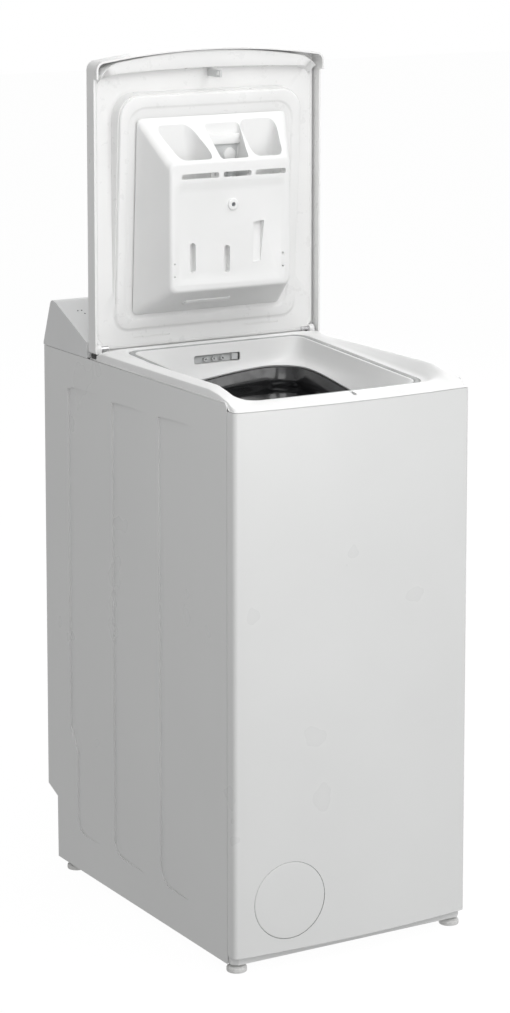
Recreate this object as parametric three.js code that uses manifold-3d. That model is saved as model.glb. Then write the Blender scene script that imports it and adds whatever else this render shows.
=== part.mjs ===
// Top-loading washing machine, 400 wide x 600 deep, built as an assembly of closed solids.
// Millimetres, +Z up, +X to the right, front of the cabinet towards -Y. Floor at z = 0.
import * as THREE from "three";
import { mergeVertices } from "three/addons/utils/BufferGeometryUtils.js";
import Module from "manifold-3d";

const wasm = await Module();
wasm.setup();
const { Manifold, Mesh: MMesh } = wasm;

// ---------------------------------------------------------------- driving dimensions
const HALF_W = 200;            // outer half width of the cabinet
const SHEET = 1.2;             // steel sheet of the cabinet
const FRONT_Y = -290;          // front face at the cabinet corners
const BULGE = 10;              // how far the front face bows out in the middle
const REAR_Y = 298;            // rear edge of the side panels
const SIDE_TOP = 833;          // top of the side panels
const FRONT_TOP = 822.5;       // top of the front panel
const SIDE_BOTTOM = 12;        // bottom of the side panels
const FRONT_BOTTOM = 25;       // bottom of the front panel
const SEAM_Y = -269;           // seam between front panel wrap and side panel
const NOTCH_Z = [111, 124];    // slanted step of the hose recess at the rear bottom
const NOTCH_Y = 265;           // rear edge of the cabinet below the recess step
const FIELD_DEPTH = 3;         // depth of the pressed fields in the side panels
const HINGE_Y = 138, HINGE_Z = 849;      // lid hinge axis
const PIN_R = 4, FIT = 0.08;   // lid pins and the radial running fit used throughout
const LID_T = 3;               // wall of the lid shell
const LID_BACK = 6;            // lid plate behind the hinge axis
const LID_FRONT = 439, LID_BULGE = 14;   // lid length in front of the axis, bow of its front edge
const LID_TOP = 10, LID_SKIRT = -12.5, LIP_SKIRT = -23;
const DRUM_Y = -30, DRUM_Z = 480;        // drum axis (runs along X)
const DRUM_R = 210, DRUM_T = 1.5, DRUM_HALF = 129.5;
const SHAFT_R = 12;
const TUB_R = 226, TUB_T = 4, TUB_HALF = 140;
const HATCH_ANGLE = 28;        // half angle of the drum hatch, degrees
const PULLEY_R = 140, MOTOR_PULLEY_R = 10;   // belt ratio 14 : 1
const MOTOR_Y = 60, MOTOR_Z = 150;
const FILTER_X = -111, FILTER_Z = 100, COVER_R = 57;
const FOOT_X = 185, FOOT_FRONT_Y = -270, FOOT_REAR_Y = 231;

// ---------------------------------------------------------------- helpers
function solid(geo) {
  const g = geo.clone();
  for (const k of Object.keys(g.attributes)) if (k !== "position") g.deleteAttribute(k);
  const m = mergeVertices(g, 1e-4);
  return new Manifold(new MMesh({
    numProp: 3,
    vertProperties: new Float32Array(m.attributes.position.array),
    triVerts: new Uint32Array(m.index.array),
  }));
}
const V = (x, y, z) => new THREE.Vector3(x, y, z);
const add = (...s) => s.reduce((a, b) => a.add(b));
const sub = (a, ...s) => s.reduce((p, q) => p.subtract(q), a);
const cut = (a, b) => a.intersect(b);
function box(x0, x1, y0, y1, z0, z1) {
  const g = new THREE.BoxGeometry(x1 - x0, y1 - y0, z1 - z0);
  g.translate((x0 + x1) / 2, (y0 + y1) / 2, (z0 + z1) / 2);
  return solid(g);
}
// outline without repeated points or points in the middle of a straight edge
function tidy(pts) {
  const n = pts.length;
  const apart = pts.filter((p, i) => Math.hypot(p[0] - pts[(i + 1) % n][0], p[1] - pts[(i + 1) % n][1]) > 1e-3);
  const m = apart.length;
  return apart.filter((p, i) => {
    const a = apart[(i + m - 1) % m], b = apart[(i + 1) % m];
    return Math.abs((p[0] - a[0]) * (b[1] - a[1]) - (p[1] - a[1]) * (b[0] - a[0])) > 1e-4 * Math.hypot(b[0] - a[0], b[1] - a[1]);
  });
}
// a flat outline pushed along one axis. Outline is (y,z) for x, (x,z) for y and (x,y) for z
function prism(axis, outline, a, b, openings = []) {
  const pts = tidy(outline), holes = openings.map(tidy);
  if (pts.reduce((s, p, i) => s + p[0] * pts[(i + 1) % pts.length][1] - p[1] * pts[(i + 1) % pts.length][0], 0) < 0) pts.reverse();
  const shape = new THREE.Shape(pts.map((p) => new THREE.Vector2(...p)));
  for (const h of holes) shape.holes.push(new THREE.Path(h.map((p) => new THREE.Vector2(...p))));
  const g = new THREE.ExtrudeGeometry(shape, { depth: b - a, bevelEnabled: false, steps: 1 });
  const m = new THREE.Matrix4();
  if (axis === "x") m.set(0, 0, 1, a, 1, 0, 0, 0, 0, 1, 0, 0, 0, 0, 0, 1);
  if (axis === "y") m.set(1, 0, 0, 0, 0, 0, -1, b, 0, 1, 0, 0, 0, 0, 0, 1);
  if (axis === "z") m.set(1, 0, 0, 0, 0, 1, 0, 0, 0, 0, 1, a, 0, 0, 0, 1);
  g.applyMatrix4(m);
  return solid(g);
}
const circle = (u, v, r, n = 32, a0 = 0) =>
  Array.from({ length: n }, (_, i) => {
    const t = a0 + (i / n) * 2 * Math.PI;
    return [u + r * Math.cos(t), v + r * Math.sin(t)];
  });
const rod = (axis, u, v, r, a, b, n = 32) => prism(axis, circle(u, v, r, n), a, b);
// turned solid about the X axis at (y, z): closed outline of [radius, x]
function turned(pts, y, z, n = 48) {
  const v = pts.map((p) => new THREE.Vector2(p[0], p[1]));
  if (pts[0][0] > 0) v.push(v[0].clone());
  const g = new THREE.LatheGeometry(v, n);
  g.applyMatrix4(new THREE.Matrix4().set(0, 1, 0, 0, 0, 0, 1, y, 1, 0, 0, z, 0, 0, 0, 1));
  return oriented(g);
}
// turned solid about the Z axis at (x, y): closed outline of [radius, z]
function turnedZ(pts, x, y, n = 24) {
  const v = pts.map((p) => new THREE.Vector2(p[0], p[1]));
  if (pts[0][0] > 0) v.push(v[0].clone());
  const g = new THREE.LatheGeometry(v, n);
  g.applyMatrix4(new THREE.Matrix4().set(1, 0, 0, x, 0, 0, -1, y, 0, 1, 0, 0, 0, 0, 0, 1));
  return oriented(g);
}
function clean(g) {
  for (const k of Object.keys(g.attributes)) if (k !== "position") g.deleteAttribute(k);
  const m = mergeVertices(g, 1e-4);
  const p = m.attributes.position.array, ix = [];
  let vol = 0;
  const f = m.index.array;
  for (let i = 0; i < f.length; i += 3) {
    const [a, b, c] = [f[i], f[i + 1], f[i + 2]];
    if (a === b || b === c || a === c) continue;
    ix.push(a, b, c);
    const A = p.slice(3 * a, 3 * a + 3), B = p.slice(3 * b, 3 * b + 3), C = p.slice(3 * c, 3 * c + 3);
    vol += A[0] * (B[1] * C[2] - B[2] * C[1]) - A[1] * (B[0] * C[2] - B[2] * C[0]) + A[2] * (B[0] * C[1] - B[1] * C[0]);
  }
  return [p, ix, vol];
}
function oriented(g) {
  const [p, ix, vol] = clean(g);
  if (vol < 0) for (let i = 0; i < ix.length; i += 3) [ix[i], ix[i + 1]] = [ix[i + 1], ix[i]];
  return new Manifold(new MMesh({ numProp: 3, vertProperties: new Float32Array(p), triVerts: new Uint32Array(ix) }));
}
// a band whose section closes on itself: rings of equal point counts, joined first to last
function band(rings, closed = true) {
  const n = rings[0].length, pos = [], ix = [];
  for (const r of rings) for (const p of r) pos.push(...p);
  const m = rings.length;
  for (let k = 0; k < (closed ? m : m - 1); k++)
    for (let i = 0; i < n; i++) {
      const a = k * n + i, b = k * n + ((i + 1) % n), c = ((k + 1) % m) * n + i, d = ((k + 1) % m) * n + ((i + 1) % n);
      ix.push(a, b, d, a, d, c);
    }
  const g = new THREE.BufferGeometry();
  g.setAttribute("position", new THREE.Float32BufferAttribute(pos, 3));
  g.setIndex(ix);
  return oriented(g);
}
// rounded rectangle seen from above, its front edge bowed by `bow`
function rounded(hx, yf, yr, r, bow = 0, rr = r, side = 6, front = 8) {
  const pts = [];
  const arc = (cx, cy, rad, a0) => {
    for (let i = 0; i <= 5; i++) {
      const t = ((a0 + i * 18) * Math.PI) / 180;
      pts.push([cx + rad * Math.cos(t), cy + rad * Math.sin(t)]);
    }
  };
  arc(hx - rr, yr - rr, rr, 0);
  for (let i = 1; i < 4; i++) pts.push([(hx - rr) * (1 - i / 2), yr]);
  arc(-hx + rr, yr - rr, rr, 90);
  for (let i = 1; i < side; i++) pts.push([-hx, yr - rr + ((yf + r - yr + rr) * i) / side]);
  arc(-hx + r, yf + r, r, 180);
  for (let i = 1; i < front; i++) pts.push([(-hx + r) * (1 - (2 * i) / front), yf]);
  arc(hx - r, yf + r, r, 270);
  for (let i = 1; i < side; i++) pts.push([hx, yf + r + ((yr - rr - yf - r) * i) / side]);
  return pts.map(([x, y]) => [x, y - (y < yf + r + 0.01 ? bow * Math.max(0, 1 - (x / (hx - r / 2)) ** 2) : 0)]);
}
const ramp = (y, table) => {
  if (y <= table[0][0]) return table[0][1];
  for (let i = 1; i < table.length; i++)
    if (y <= table[i][0]) {
      const [a, b] = [table[i - 1], table[i]];
      return a[1] + ((b[1] - a[1]) * (y - a[0])) / (b[0] - a[0]);
    }
  return table[table.length - 1][1];
};
function tube(points, r, steps, sides) {
  const path = new THREE.CatmullRomCurve3(points.map((p) => V(...p)));
  const g = new THREE.ExtrudeGeometry(new THREE.Shape(circle(0, 0, r, sides).map((p) => new THREE.Vector2(...p))), {
    steps, bevelEnabled: false, extrudePath: path,
  });
  return oriented(g);
}
const group = new THREE.Group();
group.name = "top_load_washing_machine";
function part(name, s, color, rough = 0.5, metal = 0) {
  const m = s.getMesh();
  const g = new THREE.BufferGeometry();
  g.setAttribute("position", new THREE.BufferAttribute(new Float32Array(m.vertProperties), 3));
  g.setIndex(new THREE.BufferAttribute(new Uint32Array(m.triVerts), 1));
  g.computeVertexNormals();
  const mesh = new THREE.Mesh(g, new THREE.MeshStandardMaterial({ color, roughness: rough, metalness: metal }));
  mesh.name = name;
  group.add(mesh);
}
const mirrorX = (s) => s.mirror([1, 0, 0]);

// ---------------------------------------------------------------- cabinet
const WHITE = 0xe9eaea, ENAMEL = 0xdcdddc, GREY = 0x9b9ea0, DARK = 0x26282a, STEEL = 0xb9bcbf, ZINC = 0x9fa4a6;

// bowed front sheet, offset inwards by t, as an outline in (x, y)
function frontOutline(t) {
  const pts = [[-HALF_W + t, SEAM_Y - 0.4]];
  const R = 7;
  for (let i = 0; i <= 4; i++) {
    const a = Math.PI + (i * Math.PI) / 8;
    pts.push([-HALF_W + R + (R - t) * Math.cos(a), FRONT_Y + R + (R - t) * Math.sin(a)]);
  }
  for (let i = 1; i < 20; i++) {
    const x = -190 + i * 19;
    pts.push([x, FRONT_Y + t - BULGE * (1 - (x / 193) ** 2)]);
  }
  const n = pts.length;
  for (let i = 4; i >= 0; i--) {
    const a = Math.PI + (i * Math.PI) / 8;
    pts.push([HALF_W - R - (R - t) * Math.cos(a), FRONT_Y + R + (R - t) * Math.sin(a)]);
  }
  pts.push([HALF_W - t, SEAM_Y - 0.4]);
  return pts;
}
function frontSheet(t0, t1, z0, z1) {
  return prism("z", [...frontOutline(t0), ...frontOutline(t1).reverse()], z0, z1);
}
const coverHole = rod("y", FILTER_X, FILTER_Z, COVER_R + 0.6, -310, -270, 48);
part("front_panel", sub(frontSheet(0, SHEET, FRONT_BOTTOM, FRONT_TOP), coverHole), ENAMEL, 0.35);

const coverDisc = cut(
  prism("z", [...frontOutline(0), ...frontOutline(2.6).reverse()], 30, 170),
  rod("y", FILTER_X, FILTER_Z, COVER_R, -310, -270, 48));
part("filter_cover", add(coverDisc,
  box(FILTER_X - 12, FILTER_X - 9, -295.2, -291.5, 47, 60), box(FILTER_X + 9, FILTER_X + 12, -296.2, -292, 47, 60)), ENAMEL, 0.35);

// side panel with three pressed fields, each deepest at its rear edge
const FIELDS = [
  [[220, 776], [220, 237], [197, 201], [197, 91], [190, 78], [176, 72], [111, 73], [118, 783], [202, 781]],
  [[76, 778], [76, 90], [66, 77], [50, 72], [-30, 72], [-34, 781], [60, 780]],
  [[-69, 781], [-69, 97], [-78, 80], [-90, 72], [-155, 72], [-178, 785], [-86, 783]],
];
function sidePanel() {
  const x = -HALF_W;
  const outline = [[SEAM_Y + 0.4, SIDE_BOTTOM], [NOTCH_Y, SIDE_BOTTOM], [266, NOTCH_Z[0]], [REAR_Y, NOTCH_Z[1]],
    [REAR_Y, SIDE_TOP], [-264, SIDE_TOP], [-267, 831.5], [SEAM_Y + 0.4, 828]];
  let s = prism("x", outline, x, x + SHEET);
  const grow = (f, d) => {
    const cy = f.reduce((a, p) => a + p[0], 0) / f.length, cz = f.reduce((a, p) => a + p[1], 0) / f.length;
    return f.map(([y, z]) => [y + Math.sign(y - cy) * d, z + Math.sign(z - cz) * d]);
  };
  for (const f of FIELDS) {
    const ys = f.map((p) => p[0]), y1 = Math.max(...ys), y0 = Math.min(...ys) - 2;
    const wedge = (d) => prism("z", [[x - 1, y0], [x + d, y0], [x + FIELD_DEPTH + d, y1 + 2], [x - 1, y1 + 2]], 0, 830);
    const pad = cut(prism("x", grow(f, 1.2), x + 0.2, x + 8), wedge(SHEET));
    s = add(s, pad);
  }
  for (const f of FIELDS) {
    const ys = f.map((p) => p[0]), y1 = Math.max(...ys), y0 = Math.min(...ys);
    const wedge = prism("z", [[x - 1, y0], [x, y0], [x + FIELD_DEPTH, y1], [x - 1, y1]], 0, 830);
    s = sub(s, cut(prism("x", f, x - 1, x + 6), wedge));
  }
  // hangers for the two suspension springs of this side
  for (const [y, r] of [[-215, 12], [160, 12]])
    s = add(s, box(x + 0.6, -158, y - r, y + r, 800.4, 803.4), box(x + 0.6, x + 4.5, y - r, y + r, 785, 803.4));
  return s;
}
const left = sidePanel();
part("side_panel_left", left, ENAMEL, 0.35);
part("side_panel_right", mirrorX(left), ENAMEL, 0.35);

// rear panel follows the hose recess
const rearOut = [[297, 832.6], [297, 125], [265, 112.3], [264, 20]];
const rearIn = [[295.8, 832.6], [295.8, 125.9], [263.7, 113.2], [262.8, 20]];
part("rear_panel", sub(prism("x", [...rearOut, ...rearIn.reverse()], -198.3, 198.3),
  rod("y", 150, 80, 15, 255, 275, 24), rod("y", -150, 75, 13, 255, 275, 24), rod("y", 0, 80, 8.5, 255, 275, 24),
  ...[-60, 0, 60].map((x) => box(x - 18, x + 18, 290, 299, 700, 706))), ENAMEL, 0.4);

// base frame with threaded bosses for the feet
const baseOutline = [[-198, 262], [198, 262], [198, -276], [190, -284], [-190, -284], [-198, -276]];
const baseInner = [[-196.4, 260.4], [196.4, 260.4], [196.4, -275.3], [189.4, -282.4], [-189.4, -282.4], [-196.4, -275.3]];
const feet = [[-FOOT_X, FOOT_FRONT_Y], [FOOT_X, FOOT_FRONT_Y], [-FOOT_X, FOOT_REAR_Y], [FOOT_X, FOOT_REAR_Y]];
let base = add(prism("z", baseOutline, 13, 15.5), prism("z", baseOutline, 13, 34, [baseInner]));
base = sub(base, prism("z", rounded(110, -110, 50, 20), 10, 40));
for (const [x, y] of feet) base = add(base, cut(rod("z", x, y, 10, 13, 28, 24), prism("z", baseInner, 0, 60)));
for (const [x, y] of feet) base = sub(base, rod("z", x, y, 5 + FIT, 5, 45, 24));
part("base_frame", base, ZINC, 0.5, 0.6);
["foot_front_left", "foot_front_right", "foot_rear_left", "foot_rear_right"].forEach((name, i) => {
  const [x, y] = feet[i];
  const f = turnedZ([[0, 0], [14, 0], [15, 1.5], [15, 6], [12, 9], [5, 9], [5, 38], [0, 38]], x, y, 14);
  part(name, sub(f, box(x - 1.2, x + 1.2, y - 5, y + 5, 36, 39)), 0xd8d8d6, 0.6);
});

// ---------------------------------------------------------------- top frame with funnel
const rim = (y) => 826.5 + ((y + 240) * 20) / 350;      // plane of the lid seal
const zb = (y) => ramp(y, [[-271.5, 823], [-270, 829], [-266, 833.4]]);
const zo = (y) => ramp(y, [[-300, 824.2], [-290, 825], [-276, 829.5], [-266, 834.8], [-238, 842], [-212, 845.5], [121, 845.5], [124, 836.5]]);
const zr = (y) => ramp(y, [[-300, 827], [-272, 831.5], [-262, 836.5], [-238, 844], [-212, 849.3]]);
const zs = (y) => Math.min(zr(y) - 0.5, rim(y) + 2.2);
const ring = (o, zf, dz = 0) => rounded(o[0], o[1], o[2], o[3], o[4] ?? 0, o[5] ?? o[3]).map(([x, y]) => [x, y, zf(y) + dz]);
const shut = (y, high, low) => high + (low - high) * Math.min(1, Math.max(0, (y - 84) / 18));   // the hollow ridge closes towards the hinge
const topRings = [
  ring([198.5, -289.4, 152.4, 7, 10], zb),
  ring([198.5, -289.4, 152.4, 7, 10], zb, 1.3),
  ring([196.2, -288.6, 151.4, 9, 10], zb, 1.5),
  ring([196.2, -287.4, 125, 12, 9.6, 6], zo),
  ring([180, -272, 118, 26, 4, 18], zr),
  ring([165, -253, 114.5, 34, 2, 20], zs),
  ring([159, -246, 112.5, 34, 0, 22], (y) => rim(y)),
  ring([158.8, -245.8, 112.3, 34, 0, 22], (y) => rim(y) - 4),
  ring([149.6, -236.6, 106.2, 27, 0, 18], (y) => rim(y) - 4),
  ring([149.4, -236.4, 106, 27, 0, 18], (y) => rim(y) - 0.6),
  ring([147.4, -234.6, 104.8, 26, 0, 17], (y) => rim(y) - 1.2),
  ring([140, -222, 102.5, 34, 0, 26], () => 812),
  ring([129, -201, 97, 44, 0, 40], () => 787),
  ring([130.5, -202.4, 98.6, 45, 0, 41], () => 784.4),
  ring([143, -225, 105.4, 36, 0, 28], () => 809.6),
  ring([148.5, -236.5, 108.6, 28, 0, 20], (y) => rim(y) - 8),
  ring([162.5, -249.5, 114.6, 36, 0, 25], (y) => rim(y) - 8),
  ring([167, -256, 116, 34, 2, 22], (y) => shut(y, zs(y) - 4.2, 838.2)),
  ring([179.5, -270, 118, 26, 4, 18], (y) => shut(y, zr(y) - 3.6, 837.2)),
  ring([192.8, -283.2, 121.6, 12, 9.6, 6], (y) => shut(y, Math.max(zo(y) - 4.4, zb(y) + 0.4), 833.9)),
  ring([193.2, -285.6, 148.6, 9, 10], (y) => zb(y) + 0.3),
  ring([193.8, -286.4, 149.4, 7, 10], zb),
];
let top = band(topRings);
for (const s of [-1, 1]) {
  const [a, b] = s < 0 ? [-194.3, -185.7] : [185.7, 194.3];
  top = add(top, box(a, b, 131.4, 144.6, 833.9, HINGE_Z), rod("x", HINGE_Y, HINGE_Z, 6.6, a, b, 32));
  top = sub(top, rod("x", HINGE_Y, HINGE_Z, PIN_R + FIT, a - 4, b + 4, 32));
}
top = sub(top,
  prism("y", [[-39, 817], [39, 817], [41, 819], [41, 828], [39, 830], [-39, 830], [-41, 828], [-41, 819]], 96, 111.8),
  box(1.5, 10.5, -285, -267.5, 812, 845));
part("top_frame", top, WHITE, 0.35);

// lid seal lies in the groove of the rim
part("rim_gasket", band([
  ring([158.2, -245.2, 111.7, 33.5, 0, 21.5], rim, -3.6), ring([158.2, -245.2, 111.7, 33.5, 0, 21.5], rim, -0.6),
  ring([154, -241, 109, 30, 0, 20], rim, 0.7), ring([150.2, -237.2, 106.8, 27.5, 0, 18.4], rim, -0.6),
  ring([150.2, -237.2, 106.8, 27.5, 0, 18.4], rim, -3.6)]), GREY, 0.7);

// water nozzles behind the funnel slot
let nozzles = add(box(-40, 40, 112.4, 121, 812, 829), box(-20, 30, 120, 130, 805, 822));
for (const x of [-19, -4, 11]) nozzles = sub(add(nozzles, rod("y", x, 822.5, 3.4, 105.5, 113, 12)), rod("y", x, 822.5, 1.8, 104, 119, 10));
nozzles = add(nozzles, box(28, 38.5, 107, 113, 818.5, 828.5), rod("z", 22, 125, 7, 792, 806, 16));
part("nozzle_manifold", nozzles, 0xdedfdf, 0.4);

// ---------------------------------------------------------------- console
const CONSOLE = [[154, 833.5], [154, 856], [155.5, 858.5], [250, 901.6], [258, 905], [264, 907], [269, 907.3], [273.5, 905.5], [276.5, 901.5], [300, 838], [300, 833.5]];
const consoleIn = [[156.5, 830], [156.5, 856.6], [250.5, 899], [259, 902.4], [268, 904.2], [273.6, 900], [297.4, 836.6], [297.4, 830]];
const SLOPE = Math.atan2(901.6 - 858.5, 250 - 155.5);
const along = (s) => [155.5 + s * Math.cos(SLOPE), 858.5 + s * Math.sin(SLOPE)];   // point on the sloping face
function onSlope(s, shape) {   // shape built round the origin with its outward normal along +Z
  const [y, z] = along(s);
  return shape.transform(new THREE.Matrix4().makeTranslation(0, y, z).multiply(new THREE.Matrix4().makeRotationX(SLOPE)).elements);
}
const KNOB_X = 70, KNOB_S = 52, BUTTON_S = 52;
const BUTTONS = [-100, -70, -40];
let housing = sub(prism("x", CONSOLE, -HALF_W, HALF_W), prism("x", consoleIn, -197.2, 197.2));
housing = sub(housing, onSlope(KNOB_S, rod("z", KNOB_X, 0, 7 + FIT, -8, 8, 32)));
for (const x of BUTTONS) housing = sub(housing, onSlope(BUTTON_S, box(x - 8.3, x + 8.3, -5.3, 5.3, -8, 8)));
part("console_housing", housing, ENAMEL, 0.4);
const knobShape = add(
  turnedZ([[0, 0.5], [24, 0.5], [24, 3], [21, 4.5], [19.5, 15], [17.5, 17], [0, 17]], KNOB_X, 0, 36),
  rod("z", KNOB_X, 0, 7, -12, 1, 32), rod("z", KNOB_X, 0, 3, -18, -11, 16));
part("program_knob", onSlope(KNOB_S, sub(knobShape, box(KNOB_X - 0.8, KNOB_X + 0.8, 8, 18, 16, 18))), WHITE, 0.35);
BUTTONS.forEach((x, i) => part(`button_${i + 1}`, onSlope(BUTTON_S, add(
  box(x - 8, x + 8, -5, 5, -5, 2.4), box(x - 9.8, x + 9.8, -6.8, 6.8, -6.5, -3.2))), WHITE, 0.35));
part("control_board", onSlope(0, box(-150, 120, 24, 84, -24, -22)), 0x2f6b45, 0.6);

// ---------------------------------------------------------------- rear connections
part("inlet_valve", sub(add(rod("y", 150, 80, 10, 262, 290, 24), rod("y", 150, 80, 13, 276, 286, 24),
  box(138, 162, 232, 262.2, 68, 92), rod("y", 150, 80, 14, 261, 264, 24),
  rod("z", 150, 245, 7, 91, 108, 16)), rod("y", 150, 80, 6.5, 270, 295, 20)), 0xe0e1e1, 0.5);
part("cable_gland", sub(add(rod("y", 0, 80, 8, 258, 272, 24), rod("y", 0, 80, 11, 265.2, 268.5, 20)), rod("y", 0, 80, 4, 250, 280, 16)), DARK, 0.7);
// the hose ends in the outlet spigot held in the rear panel
part("drain_hose", add(tube([[-111, -198, 138.8], [-111, -198, 147], [-138, -192, 166], [-172, -150, 120], [-172, -60, 60], [-172, 120, 52], [-165, 200, 62], [-150, 252, 75]], 10, 20, 8),
  sub(add(rod("y", -150, 75, 12, 248, 286, 24), rod("y", -150, 75, 15.5, 265.2, 268, 20)), rod("y", -150, 75, 9, 256, 290, 24))), 0x6d7174, 0.7);
part("fill_hose", tube([[150, 245, 109.4], [150, 245, 114], [151, 250, 160], [150, 262, 300], [150, 268, 500], [150, 262, 700], [120, 220, 780], [60, 150, 785], [25, 128, 778], [22, 125, 785.5], [22, 125, 790.6]], 7, 26, 6), 0x8b8f92, 0.7);

// ---------------------------------------------------------------- drain pump and filter
const PX = FILTER_X, PZ = FILTER_Z;
let pump = add(rod("y", PX, PZ, 34, -291, -212, 24), rod("y", PX, PZ, 38, -216, -182, 24), rod("y", PX, PZ, 27, -184, -120, 20),
  box(PX - 14, PX + 14, -250, -190, 16.2, 74), rod("z", PX, -160, 17, 110, 146, 20), rod("z", PX, -198, 11, 118, 137, 16), box(PX - 9, PX + 9, -205, -160, 108, 122));
pump = sub(pump, rod("y", PX, PZ, (26 + FIT) / Math.cos(Math.PI / 32), -295, -222, 32), rod("y", PX, PZ, 30, -222.5, -186, 32), rod("y", PX, PZ, 3 + FIT, -190, -160, 20));
part("drain_pump_housing", pump, 0xdadbdb, 0.5);
let filter = add(rod("y", PX, PZ, 26, -289, -270, 32), rod("y", PX, PZ, 22, -272, -226, 20));
filter = sub(filter, rod("y", PX, PZ, 19.5, -268, -220, 20));
for (const a of [0, 60, 120]) filter = sub(filter, box(PX - 30, PX + 30, -262, -234, PZ - 2.5, PZ + 2.5).translate([-PX, 0, -PZ]).rotate([0, a, 0]).translate([PX, 0, PZ]));
filter = sub(filter, box(PX - 21, PX - 3, -292, -281, PZ - 10, PZ + 10), box(PX + 3, PX + 21, -292, -281, PZ - 10, PZ + 10));
part("pump_filter", filter, 0x6f7376, 0.5);
let impeller = add(rod("y", PX, PZ, 7, -214, -192, 20), rod("y", PX, PZ, 3, -194, -164, 20));
for (const a of [0, 45, 90, 135]) impeller = add(impeller, box(-24, 24, -212, -196, -1.2, 1.2).rotate([0, a, 0]).translate([PX, 0, PZ]));
part("pump_impeller", impeller, 0x4a4d50, 0.5);

// ---------------------------------------------------------------- lid lock
part("lid_lock_housing", sub(box(-42, 20, -284.5, -262, 794, 821.6),
  box(1, 11, -283.4, -267.8, 800, 830), box(-40, 19, -279.2, -272.8, 816.6, 823.6)), 0xdcdddd, 0.5);
part("lid_lock_bolt", add(box(-26, -2, -278.8, -273.2, 817, 821.2)), 0x55585b, 0.5);

// ---------------------------------------------------------------- lid, drawn closed about its axis and then raised
const LID_OUT = (t, yb = 0) => {
  const hx = HALF_W - t, r = 14 - t, f = -LID_FRONT + t, b = LID_BACK - t - yb, pts = [];
  for (let i = 0; i <= 3; i++) { const a = (i * Math.PI) / 6; pts.push([hx - 4 + 4 * Math.cos(a), b - 4 + 4 * Math.sin(a)]); }
  for (let i = 3; i >= 0; i--) { const a = (i * Math.PI) / 6; pts.push([-hx + 4 - 4 * Math.cos(a), b - 4 + 4 * Math.sin(a)]); }
  for (let i = 0; i <= 5; i++) { const a = Math.PI + (i * Math.PI) / 10; pts.push([-hx + r + r * Math.cos(a), f + r + r * Math.sin(a)]); }
  for (let i = 1; i < 16; i++) { const x = (-hx + r) * (1 - i / 8); pts.push([x, f - LID_BULGE * (1 - (x / (hx - r)) ** 2)]); }
  for (let i = 5; i >= 0; i--) { const a = Math.PI + (i * Math.PI) / 10; pts.push([hx - r - r * Math.cos(a), f + r + r * Math.sin(a)]); }
  return pts;
};
const raise = (s) => s.rotate([-90, 0, 0]).translate([0, HINGE_Y, HINGE_Z]);
const lipZone = box(-220, 220, -500, -412, -40, 20);
let shell = add(prism("z", LID_OUT(0), LID_SKIRT, LID_TOP), cut(prism("z", LID_OUT(0), LIP_SKIRT, 0), lipZone));
shell = sub(shell, prism("z", LID_OUT(LID_T, -12), -40, LID_TOP - LID_T));
part("lid_outer_shell", raise(shell), WHITE, 0.3);

// inner panel: flat flange and a sealing pad that follows the slope of the rim
const flangeOut = rounded(171.5, -429, 2.4, 30, 16, 5);
const padOut = rounded(158.8, -245.8 - HINGE_Y, 112.3 - HINGE_Y, 34, 0, 22);   // lands on the seal all round
const face = (y) => rim(y + HINGE_Y) - HINGE_Z + 1;       // seal face of the pad in lid coordinates
const padProfile = (d, y0, y1) => [[y0, face(y0) + d], [y1, face(y1) + d], [y1, 20], [y0, 20]];
let inner = add(prism("z", flangeOut, 1.2, 4), cut(prism("z", padOut, -40, 4), prism("x", padProfile(0, -420, 0), -180, 180)));
const padHollow = rounded(156, -243 - HINGE_Y, 109.5 - HINGE_Y, 31, 0, 19);
inner = sub(inner, cut(prism("z", padHollow, -40, 5), prism("x", padProfile(2.5, -420, 0), -180, 180)));
part("lid_inner_panel", raise(inner), WHITE, 0.35);
part("lid_latch_hook", raise(sub(box(4, 8, -419, -408, -37, 0.8), box(0, 12, -417, -410.5, -33, -24))), 0xcfd0d0, 0.4);
const hingeLeft = raise(add(box(-183.4, -172.6, -40, 4, 2, 6.4), rod("x", 0, 0, PIN_R, -194.4, -172.6, 32)));
part("lid_hinge_left", hingeLeft, STEEL, 0.4, 0.8);
part("lid_hinge_right", mirrorX(hingeLeft), STEEL, 0.4, 0.8);

// ---------------------------------------------------------------- detergent dispenser on the lid
const DISP = [[90 - HINGE_Y, 0], [48 - HINGE_Y, -78], [-149 - HINGE_Y, -78], [-212 - HINGE_Y, 0]];
const backPlane = (y) => face(y) - 0.5;
let disp = cut(prism("x", [[DISP[0][0], backPlane(DISP[0][0])], DISP[1], DISP[2], [DISP[3][0], backPlane(DISP[3][0])]], -130, 130),
  prism("y", [[-131, 0], [-105, -78], [105, -78], [131, 0]], -460, 0));
const POCKETS = [[-98, -34], [-26, 28], [36, 98]];
for (const [a, b] of POCKETS) disp = sub(disp, box(a, b, -400, -239, -74.5, -31));
disp = sub(disp, cut(prism("x", [[-70, 10], [-70, -30], [-94, -74.5], [-233, -74.5], [-233, 10]], -100, 100), box(-200, 200, -300, 0, -80, 20)));
for (const [a, b] of [[-88, -40], [-22, 22], [44, 92]]) disp = sub(disp, box(a, b, -268, -262, -80, -70));
for (const [x, y0, y1] of [[-66, -167, -126], [-6, -163, -124]]) disp = sub(disp, box(x - 4, x + 4, y0, y1, -80, -76.6));
disp = add(disp, rod("z", 3, -224, 9, -80, -74, 24));
disp = sub(disp, rod("z", 3, -224, 3.2, -82, -72, 12));
part("dispenser_body", raise(disp), WHITE, 0.35);
part("siphon_cap", raise(add(box(-23.5, 25.5, -255, -240, -72, -33), box(-23.5, 25.5, -277, -254, -36, -33), rod("y", 1, -55, 5, -273, -254, 16))), 0xe6e7e7, 0.35);

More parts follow.
